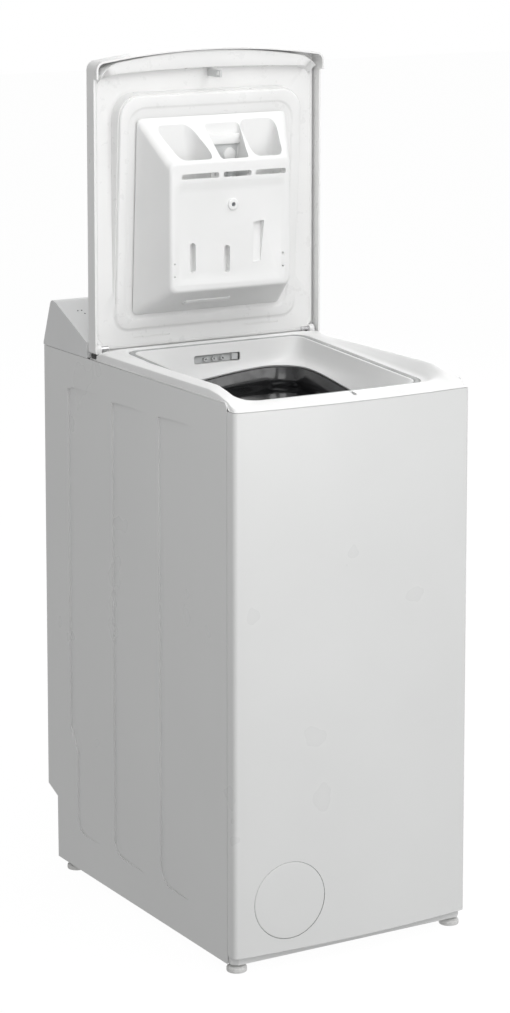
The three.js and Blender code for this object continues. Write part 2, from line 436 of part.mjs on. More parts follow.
// ---------------------------------------------------------------- tub
const cavity = turned([[0, -TUB_HALF + 4], [TUB_R, -TUB_HALF + 4], [TUB_R, TUB_HALF - 4], [0, TUB_HALF - 4]], DRUM_Y, DRUM_Z, 36);
const NECK = [[-112, 112], [-165, 108]];
const neckOuter = box(-116, 116, -169, 112, 560, 716);
const neckInner = box(-112, 112, -165, 108, 560, 730);
const underNeck = turned([[0, -TUB_HALF + 2], [TUB_R + 2, -TUB_HALF + 2], [TUB_R + 2, TUB_HALF - 2], [0, TUB_HALF - 2]], DRUM_Y, DRUM_Z, 36);
const HEATER_Z = DRUM_Z - 217;
function tubHalf(side) {
  const h = TUB_HALF, R = TUB_R + TUB_T;
  let s = turned([[26.4, -h - 20], [34, -h - 20], [34, -h], [R, -h], [R, -7], [R + 8, -7], [R + 8, -0.2], [TUB_R, -0.2], [TUB_R, -h + 4], [26.4, -h + 4]], DRUM_Y, DRUM_Z, 36);
  const keep = box(-300, -0.2, -400, 400, 0, 900);
  s = add(s, cut(sub(neckOuter, underNeck), keep));
  for (const [y0, y1, z0, z1] of [[-227, -203, 618, 644], [148, 172, 600, 634]]) s = add(s, box(-178, -124, y0, y1, z0, z1));
  for (const a of [30, 90, 150, 210, 270, 330]) s = add(s, box(-h - 5, -h + 1, -2.5, 2.5, 30, 200).rotate([a, 0, 0]).translate([0, DRUM_Y, DRUM_Z]));
  s = sub(s, cavity, neckInner);
  if (side < 0) {
    s = add(s, rod("z", -80, -60, 15, 226, 256, 20));
    s = sub(s, cavity, rod("z", -80, -60, 12, 220, 270, 20));
    for (const y of [DRUM_Y - 20, DRUM_Y + 20]) s = sub(s, rod("x", y, HEATER_Z, 4.4, -160, -130, 16));
    return s;
  }
  return mirrorX(s);
}
part("tub_left_half", tubHalf(-1), 0xc9cccd, 0.6);
part("tub_right_half", tubHalf(1), 0xc9cccd, 0.6);
for (const [name, s] of [["bearing_left", -1], ["bearing_right", 1]]) {
  const b = turned([[SHAFT_R + FIT, -159], [26.1, -159], [26.1, -145], [SHAFT_R + FIT, -145]], DRUM_Y, DRUM_Z, 28);
  part(name, s < 0 ? b : mirrorX(b), STEEL, 0.25, 0.9);
}
const heaterPath = [[-152, DRUM_Y - 20, HEATER_Z], [-100, DRUM_Y - 20, HEATER_Z], [60, DRUM_Y - 20, HEATER_Z], [92, DRUM_Y - 15, HEATER_Z], [104, DRUM_Y, HEATER_Z], [92, DRUM_Y + 15, HEATER_Z], [60, DRUM_Y + 20, HEATER_Z], [-100, DRUM_Y + 20, HEATER_Z], [-152, DRUM_Y + 20, HEATER_Z]];
part("heater_element", add(tube(heaterPath, 3.6, 34, 8), box(-151, -145.6, DRUM_Y - 28, DRUM_Y + 28, HEATER_Z - 9, HEATER_Z + 9)), STEEL, 0.3, 0.9);
const tubClear = turned([[0, -139], [TUB_R + TUB_T + 0.8, -139], [TUB_R + TUB_T + 0.8, -8], [TUB_R + TUB_T + 8.8, -8], [TUB_R + TUB_T + 8.8, 8], [TUB_R + TUB_T + 0.8, 8], [TUB_R + TUB_T + 0.8, 139], [0, 139]], DRUM_Y, DRUM_Z, 36);
part("counterweight_front", sub(box(-120, 120, -283, -200, 590, 700), tubClear), 0x8a8782, 0.9);
part("counterweight_rear", sub(box(-120, 120, 168, 284, 400, 600), tubClear), 0x8a8782, 0.9);
part("motor", sub(add(rod("x", MOTOR_Y, MOTOR_Z, 46, 52, 148, 32), rod("x", MOTOR_Y, MOTOR_Z, 20, 147, 154, 24), box(80, 130, MOTOR_Y - 8, MOTOR_Y + 8, 190, 264.2)),
  rod("x", MOTOR_Y, MOTOR_Z, 7 + FIT, 126, 160, 24), ...[0, 60, 120, 180, 240, 300].map((a) => box(60, 140, -2, 2, 40, 50).rotate([a + 30, 0, 0]).translate([0, MOTOR_Y, MOTOR_Z]))), 0x55595c, 0.5, 0.5);
part("motor_pulley", add(turned([[0, 129], [7, 129], [7, 160], [13, 160], [13, 164.4], [MOTOR_PULLEY_R, 165], [MOTOR_PULLEY_R, 177], [13, 177.6], [13, 180], [0, 180]], MOTOR_Y, MOTOR_Z, 28)), STEEL, 0.3, 0.9);

// flat belt round both pulleys
function beltLoop(off) {
  const a = [DRUM_Y, DRUM_Z, PULLEY_R + off], b = [MOTOR_Y, MOTOR_Z, MOTOR_PULLEY_R + off];
  const d = Math.hypot(b[0] - a[0], b[1] - a[1]), base = Math.atan2(b[1] - a[1], b[0] - a[0]), open = Math.acos((a[2] - b[2]) / d);
  const pts = [];
  for (let i = 0; i <= 36; i++) { const t = base + open + (i / 36) * (2 * Math.PI - 2 * open); pts.push([a[0] + a[2] * Math.cos(t), a[1] + a[2] * Math.sin(t)]); }
  for (let i = 0; i <= 12; i++) { const t = base - open + (i / 12) * 2 * open; pts.push([b[0] + b[2] * Math.cos(t), b[1] + b[2] * Math.sin(t)]); }
  return pts;
}
part("drive_belt", prism("x", beltLoop(4), 166, 176, [beltLoop(0.8)]), DARK, 0.8);

// ---------------------------------------------------------------- drum
const hatchY = DRUM_R * Math.sin((HATCH_ANGLE * Math.PI) / 180);
const hingeR = DRUM_R * Math.cos((HATCH_ANGLE * Math.PI) / 180);
let drum = turned([[0, -162], [SHAFT_R, -162], [SHAFT_R, -DRUM_HALF], [DRUM_R - 0.8, -DRUM_HALF], [DRUM_R, -DRUM_HALF + 0.8], [DRUM_R, DRUM_HALF - 0.8], [DRUM_R - 0.8, DRUM_HALF], [SHAFT_R, DRUM_HALF], [SHAFT_R, 183], [0, 183]], DRUM_Y, DRUM_Z, 44);
drum = sub(drum, turned([[0, -DRUM_HALF + DRUM_T], [DRUM_R - DRUM_T, -DRUM_HALF + DRUM_T], [DRUM_R - DRUM_T, DRUM_HALF - DRUM_T], [0, DRUM_HALF - DRUM_T]], DRUM_Y, DRUM_Z, 44));
for (const a of [90, 180, 270]) drum = add(drum, prism("x", [[-12, DRUM_R - 0.9], [-18, DRUM_R - 8], [-6, DRUM_R - 42], [6, DRUM_R - 42], [18, DRUM_R - 8], [12, DRUM_R - 0.9]], -DRUM_HALF + 0.7, DRUM_HALF - 0.7).rotate([a, 0, 0]).translate([0, DRUM_Y, DRUM_Z]));
drum = sub(drum, box(-97, 97, DRUM_Y - hatchY - 3, DRUM_Y + hatchY + 3, 620, 700));
part("drum_shell", drum, STEEL, 0.25, 0.95);
let wheel = turned([[SHAFT_R + 0.3, 164], [24, 164], [24, 168], [126, 168], [128, 164.5], [PULLEY_R, 164.5], [PULLEY_R, 177.5], [128, 177.5], [126, 172], [24, 172], [24, 178], [SHAFT_R + 0.3, 178]], DRUM_Y, DRUM_Z, 36);
for (let i = 0; i < 5; i++) wheel = sub(wheel, rod("x", 78, 0, 26, 160, 180, 12).rotate([i * 72, 0, 0]).translate([0, DRUM_Y, DRUM_Z]));
part("drum_pulley", wheel, 0xa7abad, 0.4, 0.8);
// curved flaps of the hatch, hinged at its front and rear edges
function flapSection(a0, a1, r0, r1, n = 8) {
  const pts = [];
  for (let i = 0; i <= n; i++) { const t = ((90 + a0 + ((a1 - a0) * i) / n) * Math.PI) / 180; pts.push([DRUM_Y + r1 * Math.cos(t), DRUM_Z + r1 * Math.sin(t)]); }
  for (let i = n; i >= 0; i--) { const t = ((90 + a0 + ((a1 - a0) * i) / n) * Math.PI) / 180; pts.push([DRUM_Y + r0 * Math.cos(t), DRUM_Z + r0 * Math.sin(t)]); }
  return pts;
}
const A = HATCH_ANGLE;
part("drum_flap_front", sub(prism("x", flapSection(0.6, A - 0.2, DRUM_R - 2, DRUM_R), -95, 95),
  box(-16, 16, DRUM_Y - 26, DRUM_Y + 4, 600, 740)), STEEL, 0.25, 0.95);
part("drum_flap_rear", prism("x", flapSection(-A + 0.2, -0.3, DRUM_R - 2, DRUM_R), -95, 95), STEEL, 0.25, 0.95);
part("drum_latch_button", box(-15.4, 15.4, DRUM_Y - 25.2, DRUM_Y - 3.2, DRUM_Z + DRUM_R - 9, DRUM_Z + DRUM_R - 1.2), 0x303234, 0.4);

// ---------------------------------------------------------------- bellows, sump hose, suspension
const flat = (z) => () => z;
part("bellows", band([
  ring([136, -208, 104, 48, 0, 44], flat(783.6)), ring([127, -199, 95, 42, 0, 38], flat(783.2)),
  ring([123, -192, 90, 40, 0, 36], flat(768)), ring([127, -196, 94, 40, 0, 36], flat(756)),
  ring([119, -184, 86, 38, 0, 34], flat(742)), ring([121, -180, 90, 36, 0, 32], flat(730)),
  ring([113, -166, 109, 14, 0, 12], flat(716.8)), ring([117, -170, 113, 16, 0, 14], flat(716.8)),
  ring([124.5, -183.5, 94, 38, 0, 34], flat(729)), ring([122.5, -187.5, 89.6, 40, 0, 36], flat(742)),
  ring([130.5, -199.5, 97.5, 42, 0, 38], flat(756)), ring([126.5, -195.5, 93.6, 42, 0, 38], flat(768)),
  ring([130, -202, 98, 44, 0, 40], flat(780.4)), ring([136, -208, 104, 48, 0, 44], flat(780.4))]), 0x1b1c1d, 0.35);
part("sump_hose", tube([[-80, -60, 224.6], [-80, -60.2, 220], [-80, -62, 205], [-92, -95, 180], [-108, -145, 170], [-111, -160, 158], [-111, -160, 152], [-111, -160, 147.4]], 13, 16, 10), 0x2b2d2f, 0.7);
function spring(x, y, z0, z1) {
  const pts = [], turns = 5, n = 8;
  pts.push([x, y, z0 + 1.2], [x, y, z0 + 5]);
  for (let i = 0; i <= turns * n; i++) {
    const t = (i / n) * 2 * Math.PI, z = z0 + 13 + ((z1 - z0 - 26) * i) / (turns * n);
    pts.push([x + 9 * Math.cos(t), y + 9 * Math.sin(t), z]);
  }
  pts.push([x, y, z1 - 5], [x, y, z1 - 1.2]);
  return tube(pts, 1.7, turns * n + 6, 4);
}
part("spring_front_left", spring(-168, -215, 645, 799.6), STEEL, 0.3, 0.9);
part("spring_front_right", spring(168, -215, 645, 799.6), STEEL, 0.3, 0.9);
part("spring_rear_left", spring(-168, 160, 635, 799.6), STEEL, 0.3, 0.9);
part("spring_rear_right", spring(168, 160, 635, 799.6), STEEL, 0.3, 0.9);
for (const [name, x, y, topZ] of [["front", 60, -150, 278], ["rear", -60, 95, 281]]) {
  part(`damper_cylinder_${name}`, sub(rod("z", x, y, 16, 15.9, 190, 24), rod("z", x, y, 8 + FIT, 30, 200, 24)), 0x3b3e41, 0.5);
  part(`damper_rod_${name}`, rod("z", x, y, 8, 60, topZ, 24), STEEL, 0.25, 0.9);
}

export default group;
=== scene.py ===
# Top-loading washing machine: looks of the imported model, in metres, +Z up, front towards -Y.
import bpy
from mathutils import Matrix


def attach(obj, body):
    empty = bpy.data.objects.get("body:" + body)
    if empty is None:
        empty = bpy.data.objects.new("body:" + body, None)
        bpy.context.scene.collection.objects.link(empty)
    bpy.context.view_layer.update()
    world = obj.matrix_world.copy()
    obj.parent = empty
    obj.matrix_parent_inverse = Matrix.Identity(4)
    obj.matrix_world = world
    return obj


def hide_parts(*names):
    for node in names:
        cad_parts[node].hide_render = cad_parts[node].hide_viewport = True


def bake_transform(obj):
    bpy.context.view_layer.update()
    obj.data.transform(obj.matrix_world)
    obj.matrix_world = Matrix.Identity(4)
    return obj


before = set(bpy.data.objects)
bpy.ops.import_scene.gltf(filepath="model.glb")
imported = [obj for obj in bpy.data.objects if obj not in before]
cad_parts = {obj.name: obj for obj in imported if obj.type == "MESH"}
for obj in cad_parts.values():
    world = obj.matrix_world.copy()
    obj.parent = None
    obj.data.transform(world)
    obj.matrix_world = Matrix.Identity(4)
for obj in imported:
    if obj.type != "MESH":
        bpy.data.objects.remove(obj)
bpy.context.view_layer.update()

import bpy, bmesh, math
import numpy as np
from mathutils import Vector, Matrix

MM = 0.001
rad = math.radians
scene = bpy.context.scene
scene.view_settings.view_transform = "Standard"

# ------------------------------------------------------------------ camera
YAW, PITCH, FOCAL, CY = rad(30.727), rad(8.219), 2999.1, 256.5     # focal length and centre row for a 1013 px high frame
EYE = Vector((-2.2775, -3.8421, 1.6397))
cam = bpy.data.cameras.new("camera")
cam_ob = bpy.data.objects.new("camera", cam)
scene.collection.objects.link(cam_ob)
fwd = Vector((math.sin(YAW) * math.cos(PITCH), math.cos(YAW) * math.cos(PITCH), -math.sin(PITCH)))
right = Vector((math.cos(YAW), -math.sin(YAW), 0))
up = right.cross(fwd)
m = Matrix((right, up, -fwd)).transposed().to_4x4()
m.translation = EYE
cam_ob.matrix_world = m
cam.sensor_fit = "AUTO"
cam.sensor_width = 36
cam.lens = FOCAL / 1013 * 36
cam.shift_y = -(506.5 - CY) / 1013
cam.clip_start, cam.clip_end = 0.05, 60
scene.camera = cam_ob

# ------------------------------------------------------------------ light and floor
world = bpy.data.worlds.new("studio")
scene.world = world
world.use_nodes = True
wn, wl = world.node_tree.nodes, world.node_tree.links
wn.clear()
w_out = wn.new("ShaderNodeOutputWorld")
w_mix = wn.new("ShaderNodeMixShader")
w_lit = wn.new("ShaderNodeBackground")
w_cam = wn.new("ShaderNodeBackground")
w_path = wn.new("ShaderNodeLightPath")
w_geo = wn.new("ShaderNodeTexCoord")
w_sep = wn.new("ShaderNodeSeparateXYZ")
w_ramp = wn.new("ShaderNodeMapRange")
w_lit.inputs["Strength"].default_value = 0.50
w_ramp.inputs["From Min"].default_value = -1.0
w_ramp.inputs["From Max"].default_value = 1.0
w_ramp.inputs["To Min"].default_value = 0.45
w_ramp.inputs["To Max"].default_value = 1.35
w_comb = wn.new("ShaderNodeCombineColor")
wl.new(w_geo.outputs["Generated"], w_sep.inputs[0])
wl.new(w_sep.outputs["X"], w_ramp.inputs["Value"])
for i in range(3):
    wl.new(w_ramp.outputs["Result"], w_comb.inputs[i])
wl.new(w_comb.outputs[0], w_lit.inputs["Color"])
w_cam.inputs["Color"].default_value = (1, 1, 1, 1)
w_cam.inputs["Strength"].default_value = 1.0
wl.new(w_path.outputs["Is Camera Ray"], w_mix.inputs[0])
wl.new(w_lit.outputs[0], w_mix.inputs[1])
wl.new(w_cam.outputs[0], w_mix.inputs[2])
wl.new(w_mix.outputs[0], w_out.inputs[0])


def area(name, at, to, size, power, size_y=None):
    l = bpy.data.lights.new(name, "AREA")
    l.energy, l.size = power, size
    if size_y:
        l.shape, l.size_y = "RECTANGLE", size_y
    o = bpy.data.objects.new(name, l)
    scene.collection.objects.link(o)
    o.location = at
    o.rotation_mode = "QUATERNION"
    o.rotation_quaternion = (Vector(to) - Vector(at)).to_track_quat("-Z", "Y")
    return o


area("key_front", (0.9, -3.0, 3.0), (0, 0.1, 1.0), 2.4, 37, 2.0)
area("key_low", (0.8, -3.6, 0.4), (0, 0, 0.45), 1.8, 25)
area("top_soft", (0.5, -0.5, 4.2), (0, 0, 0.8), 3.6, 52)
area("back_right", (2.6, 3.4, 2.4), (0, 0.1, 0.7), 2.0, 24)
area("left_near", (-0.95, -1.3, 1.8), (-0.1, 0.1, 1.05), 1.0, 7.5)
area("left_fill", (-3.4, -0.8, 2.8), (-0.2, 0, 0.8), 2.2, 6)


def floor():
    s = 14.0
    me = bpy.data.meshes.new("floor")
    me.from_pydata([(-s, -s, 0), (s, -s, 0), (s, s, 0), (-s, s, 0)], [], [(0, 1, 2, 3)])
    o = bpy.data.objects.new("floor", me)
    scene.collection.objects.link(o)
    mat = bpy.data.materials.new("floor")
    mat.use_nodes = True
    n, l = mat.node_tree.nodes, mat.node_tree.links
    p = n["Principled BSDF"]
    p.inputs["Base Color"].default_value = (0.05, 0.05, 0.05, 1)
    p.inputs["Roughness"].default_value = 0.9
    p.inputs["Specular IOR Level"].default_value = 0.0
    p.inputs["Emission Color"].default_value = (1, 1, 1, 1)
    path = n.new("ShaderNodeLightPath")          # the white floor lights the object less than it shows
    glow = n.new("ShaderNodeMapRange")
    glow.inputs["To Min"].default_value = 0.50
    glow.inputs["To Max"].default_value = 0.965
    l.new(path.outputs["Is Camera Ray"], glow.inputs["Value"])
    l.new(glow.outputs["Result"], p.inputs["Emission Strength"])
    me.materials.append(mat)


floor()


# ------------------------------------------------------------------ materials
def new_mat(name):
    mat = bpy.data.materials.new(name)
    mat.use_nodes = True
    n, l = mat.node_tree.nodes, mat.node_tree.links
    p = n["Principled BSDF"]
    tc = n.new("ShaderNodeTexCoord")
    return mat, n, l, p, tc.outputs["Object"]


def noise(n, l, vec, scale, detail=3.0, rough=0.5, stretch=None):
    if stretch:
        mp = n.new("ShaderNodeMapping")
        mp.inputs["Scale"].default_value = stretch
        l.new(vec, mp.inputs["Vector"])
        vec = mp.outputs["Vector"]
    t = n.new("ShaderNodeTexNoise")
    t.inputs["Scale"].default_value = scale
    t.inputs["Detail"].default_value = detail
    t.inputs["Roughness"].default_value = rough
    l.new(vec, t.inputs["Vector"])
    return t.outputs["Fac"]


def ramp(n, l, fac, stops):
    r = n.new("ShaderNodeValToRGB")
    while len(r.color_ramp.elements) < len(stops):
        r.color_ramp.elements.new(0.5)
    for e, (pos, c) in zip(r.color_ramp.elements, stops):
        e.position = pos
        e.color = (*c, 1) if len(c) == 3 else c
    l.new(fac, r.inputs["Fac"])
    return r.outputs["Color"]


def spread(n, l, fac, lo, hi, a=0.3, b=0.7):
    m = n.new("ShaderNodeMapRange")
    m.inputs["From Min"].default_value = a
    m.inputs["From Max"].default_value = b
    m.inputs["To Min"].default_value = lo
    m.inputs["To Max"].default_value = hi
    l.new(fac, m.inputs["Value"])
    return m.outputs["Result"]


def bump(n, l, p, parts):
    last = None
    for fac, strength, dist in parts:
        b = n.new("ShaderNodeBump")
        b.inputs["Strength"].default_value = strength
        b.inputs["Distance"].default_value = dist
        l.new(fac, b.inputs["Height"])
        if last:
            l.new(last, b.inputs["Normal"])
        last = b.outputs["Normal"]
    l.new(last, p.inputs["Normal"])


def mul(c, k):
    return tuple(min(1.0, x * k) for x in c)


def edge_wear(n, l, colour, worn, lo=0.515, hi=0.56, amount=0.5):
    """Slightly different tone along exposed edges."""
    g = n.new("ShaderNodeNewGeometry")
    f = spread(n, l, g.outputs["Pointiness"], 0.0, amount, lo, hi)
    mx = n.new("ShaderNodeMix")
    mx.data_type = "RGBA"
    l.new(f, mx.inputs["Factor"])
    l.new(colour, mx.inputs["A"])
    mx.inputs["B"].default_value = (*worn, 1)
    return mx.outputs["Result"]


def enamel(name, c=(0.735, 0.74, 0.735), rough=0.3):
    mat, n, l, p, v = new_mat(name)
    cloud = noise(n, l, v, 4.5, 2)
    col = ramp(n, l, cloud, [(0.3, mul(c, 0.985)), (0.7, mul(c, 1.012))])
    l.new(col, p.inputs["Base Color"])
    l.new(spread(n, l, noise(n, l, v, 9, 3), rough - 0.03, rough + 0.05), p.inputs["Roughness"])
    p.inputs["Coat Weight"].default_value = 0.25
    p.inputs["Coat Roughness"].default_value = 0.14
    bump(n, l, p, [(noise(n, l, v, 7, 1), 0.03, 0.003)])
    return mat


def plastic(name, c, rough=0.38, grain=1800, gs=0.10, vary=0.02, soft=0.0):
    mat, n, l, p, v = new_mat(name)
    cloud = noise(n, l, v, 11, 3)
    col = ramp(n, l, cloud, [(0.28, mul(c, 1 - vary)), (0.72, mul(c, 1 + vary))])
    l.new(col, p.inputs["Base Color"])
    l.new(spread(n, l, noise(n, l, v, 55, 5, 0.6), rough - 0.05, rough + 0.08), p.inputs["Roughness"])
    if soft:
        p.inputs["Subsurface Weight"].default_value = soft
        p.inputs["Subsurface Radius"].default_value = (0.004, 0.004, 0.004)
        p.inputs["Subsurface Scale"].default_value = 0.6
    bump(n, l, p, [(noise(n, l, v, grain, 2), gs, 0.00012), (noise(n, l, v, 60, 2), 0.04, 0.0006)])
    return mat


def rubber(name, c, rough=0.3, grain=500, gs=0.15, spec=0.5):
    mat, n, l, p, v = new_mat(name)
    dust = noise(n, l, v, 26, 6, 0.65)
    col = ramp(n, l, dust, [(0.35, c), (0.75, mul(tuple(x + 0.012 for x in c), 1.35))])
    l.new(col, p.inputs["Base Color"])
    l.new(spread(n, l, noise(n, l, v, 70, 5), rough - 0.06, rough + 0.12), p.inputs["Roughness"])
    p.inputs["Specular IOR Level"].default_value = spec
    bump(n, l, p, [(noise(n, l, v, grain, 3), gs, 0.0003), (noise(n, l, v, 40, 2), 0.12, 0.001)])
    return mat


def metal(name, c=(0.6, 0.605, 0.61), rough=0.26, stretch=(3, 90, 90), scale=14, gs=0.06, aniso=0.35, metallic=1.0):
    mat, n, l, p, v = new_mat(name)
    brush = noise(n, l, v, scale, 4, 0.6, stretch)
    l.new(ramp(n, l, brush, [(0.3, mul(c, 0.9)), (0.7, mul(c, 1.08))]), p.inputs["Base Color"])
    l.new(spread(n, l, brush, rough - 0.06, rough + 0.1), p.inputs["Roughness"])
    p.inputs["Metallic"].default_value = metallic
    p.inputs["Anisotropic"].default_value = aniso
    bump(n, l, p, [(brush, gs, 0.0002)])
    return mat


def galvanised(name):
    mat, n, l, p, v = new_mat(name)
    t = n.new("ShaderNodeTexVoronoi")
    t.inputs["Scale"].default_value = 75
    l.new(v, t.inputs["Vector"])
    col = ramp(n, l, t.outputs["Color"], [(0.1, (0.36, 0.37, 0.385)), (0.55, (0.47, 0.48, 0.49)), (0.95, (0.6, 0.61, 0.62))])
    l.new(col, p.inputs["Base Color"])
    l.new(spread(n, l, t.outputs["Color"], 0.32, 0.52, 0.1, 0.9), p.inputs["Roughness"])
    p.inputs["Metallic"].default_value = 0.9
    bump(n, l, p, [(noise(n, l, v, 240, 3), 0.08, 0.0003)])
    return mat


def concrete(name):
    mat, n, l, p, v = new_mat(name)
    a, b = noise(n, l, v, 38, 8, 0.7), noise(n, l, v, 260, 4, 0.6)
    col = ramp(n, l, a, [(0.2, (0.22, 0.215, 0.205)), (0.5, (0.33, 0.325, 0.31)), (0.8, (0.44, 0.43, 0.41))])
    l.new(col, p.inputs["Base Color"])
    p.inputs["Roughness"].default_value = 0.9
    t = n.new("ShaderNodeTexVoronoi")
    t.inputs["Scale"].default_value = 130
    l.new(v, t.inputs["Vector"])
    bump(n, l, p, [(b, 0.5, 0.0012), (t.outputs["Distance"], 0.25, 0.001)])
    return mat


def cast(name, c=(0.05, 0.053, 0.056), rough=0.55, metallic=0.6):
    mat, n, l, p, v = new_mat(name)
    a = noise(n, l, v, 320, 4, 0.6)
    l.new(ramp(n, l, noise(n, l, v, 22, 4), [(0.3, mul(c, 0.8)), (0.7, mul(c, 1.35))]), p.inputs["Base Color"])
    l.new(spread(n, l, a, rough - 0.08, rough + 0.12), p.inputs["Roughness"])
    p.inputs["Metallic"].default_value = metallic
    bump(n, l, p, [(a, 0.3, 0.0006)])
    return mat


def board(name):
    mat, n, l, p, v = new_mat(name)
    t = n.new("ShaderNodeTexBrick")
    t.inputs["Scale"].default_value = 90
    t.inputs["Mortar Size"].default_value = 0.03
    t.inputs["Color1"].default_value = (0.02, 0.13, 0.06, 1)
    t.inputs["Color2"].default_value = (0.025, 0.16, 0.075, 1)
    t.inputs["Mortar"].default_value = (0.12, 0.3, 0.12, 1)
    l.new(v, t.inputs["Vector"])
    l.new(t.outputs["Color"], p.inputs["Base Color"])
    p.inputs["Roughness"].default_value = 0.4
    bump(n, l, p, [(t.outputs["Fac"], 0.2, 0.0003)])
    return mat


def perforated(name):
    """Drum sheet: rows of punched holes round the drum axis, painted near-black as painted shade, with a brushed finish
    between them.
    """
    mat, n, l, p, v = new_mat(name)
    sep = n.new("ShaderNodeSeparateXYZ")
    l.new(v, sep.inputs[0])

    def op(kind, a, b=None, c=None):
        q = n.new("ShaderNodeMath")
        q.operation = kind
        for i, s in enumerate((a, b, c)):
            if s is None:
                continue
            if isinstance(s, (int, float)):
                q.inputs[i].default_value = s
            else:
                l.new(s, q.inputs[i])
        return q.outputs[0]
    y, z = op("SUBTRACT", sep.outputs["Y"], -0.03), op("SUBTRACT", sep.outputs["Z"], 0.48)
    arc = op("MULTIPLY", op("ARCTAN2", y, z), 0.21)
    row = op("DIVIDE", arc, 0.0099)
    shift = op("MULTIPLY", op("FLOORED_MODULO", op("FLOOR", row), 2.0), 0.5)
    u = op("SUBTRACT", op("FRACT", op("ADD", op("DIVIDE", sep.outputs["X"], 0.0115), shift)), 0.5)
    w = op("SUBTRACT", op("FRACT", row), 0.5)
    d = op("SQRT", op("ADD", op("MULTIPLY", u, u), op("MULTIPLY", w, w)))
    shell = op("GREATER_THAN", op("SQRT", op("ADD", op("MULTIPLY", y, y), op("MULTIPLY", z, z))), 0.2065)
    inside = op("MULTIPLY", op("LESS_THAN", op("ABSOLUTE", sep.outputs["X"]), 0.118), shell)
    # the punched holes are only painted: near-black painted shade in place of the dark gap seen through them
    hole_painted_shade = op("MULTIPLY", op("LESS_THAN", d, 0.17), inside)
    brush = noise(n, l, v, 14, 4, 0.6, (2, 80, 80))
    base = ramp(n, l, brush, [(0.3, (0.52, 0.525, 0.53)), (0.7, (0.66, 0.665, 0.67))])
    mx = n.new("ShaderNodeMix")
    mx.data_type = "RGBA"
    l.new(hole_painted_shade, mx.inputs["Factor"])
    l.new(base, mx.inputs["A"])
    mx.inputs["B"].default_value = (0.012, 0.012, 0.013, 1)
    l.new(mx.outputs["Result"], p.inputs["Base Color"])
    l.new(spread(n, l, brush, 0.2, 0.32), p.inputs["Roughness"])
    p.inputs["Metallic"].default_value = 1.0
    dish = op("MULTIPLY", spread(n, l, d, 0.0, 1.0, 0.12, 0.3), 1.0)
    bump(n, l, p, [(dish, 0.35, 0.0008)])
    return mat


WHITE = (0.83, 0.832, 0.828)
M = {
    "enamel": enamel("enamel"),
    "enamel_rear": enamel("enamel_rear", (0.66, 0.665, 0.665), 0.42),
    "white": plastic("white_plastic", WHITE, 0.34),
    "lid_white": plastic("lid_plastic", (0.835, 0.835, 0.83), 0.3, 1500, 0.07),
    "console": plastic("console_plastic", (0.72, 0.725, 0.725), 0.36, 1300, 0.12),
    "knob": plastic("knob_plastic", (0.74, 0.745, 0.745), 0.25),
    "foot": plastic("foot_plastic", (0.70, 0.70, 0.69), 0.5, 900, 0.2),
    "pale": plastic("pale_plastic", (0.6, 0.61, 0.61), 0.45, 900, 0.15),
    "seal": rubber("seal_grey", (0.36, 0.365, 0.365), 0.5, 700, 0.12, 0.35),
    "bellows": rubber("bellows_rubber", (0.006, 0.006, 0.007), 0.15, 300, 0.04, 0.75),
    "boot": rubber("boot_rubber", (0.012, 0.012, 0.013), 0.42, 400, 0.2),
    "hose": rubber("hose_rubber", (0.10, 0.104, 0.108), 0.5, 420, 0.2),
    "hose_pale": rubber("hose_pale", (0.26, 0.265, 0.27), 0.5, 420, 0.2),
    "tub": plastic("tub_plastic", (0.56, 0.575, 0.58), 0.5, 420, 0.35, 0.06),
    "steel": metal("steel"),
    "bright": metal("bright_steel", (0.7, 0.7, 0.71), 0.18, (40, 40, 40), 6, 0.03, 0.0),
    "drum": perforated("drum_steel"),
    "pulley": metal("pulley_metal", (0.5, 0.51, 0.52), 0.36, (30, 30, 30), 10, 0.1, 0.0),
    "zinc": galvanised("galvanised"),
    "concrete": concrete("concrete"),
    "dark": plastic("dark_plastic", (0.035, 0.037, 0.04), 0.45, 700, 0.3, 0.08),
    "grey": plastic("grey_plastic", (0.17, 0.18, 0.19), 0.45, 700, 0.25, 0.06),
    "iron": cast("motor_iron"),
    "belt": rubber("belt_rubber", (0.014, 0.014, 0.015), 0.65, 900, 0.4),
    "board": board("circuit_board"),
    "print": plastic("print_and_gap_shade_grey", (0.1, 0.105, 0.11), 0.5, 900, 0.1),
}

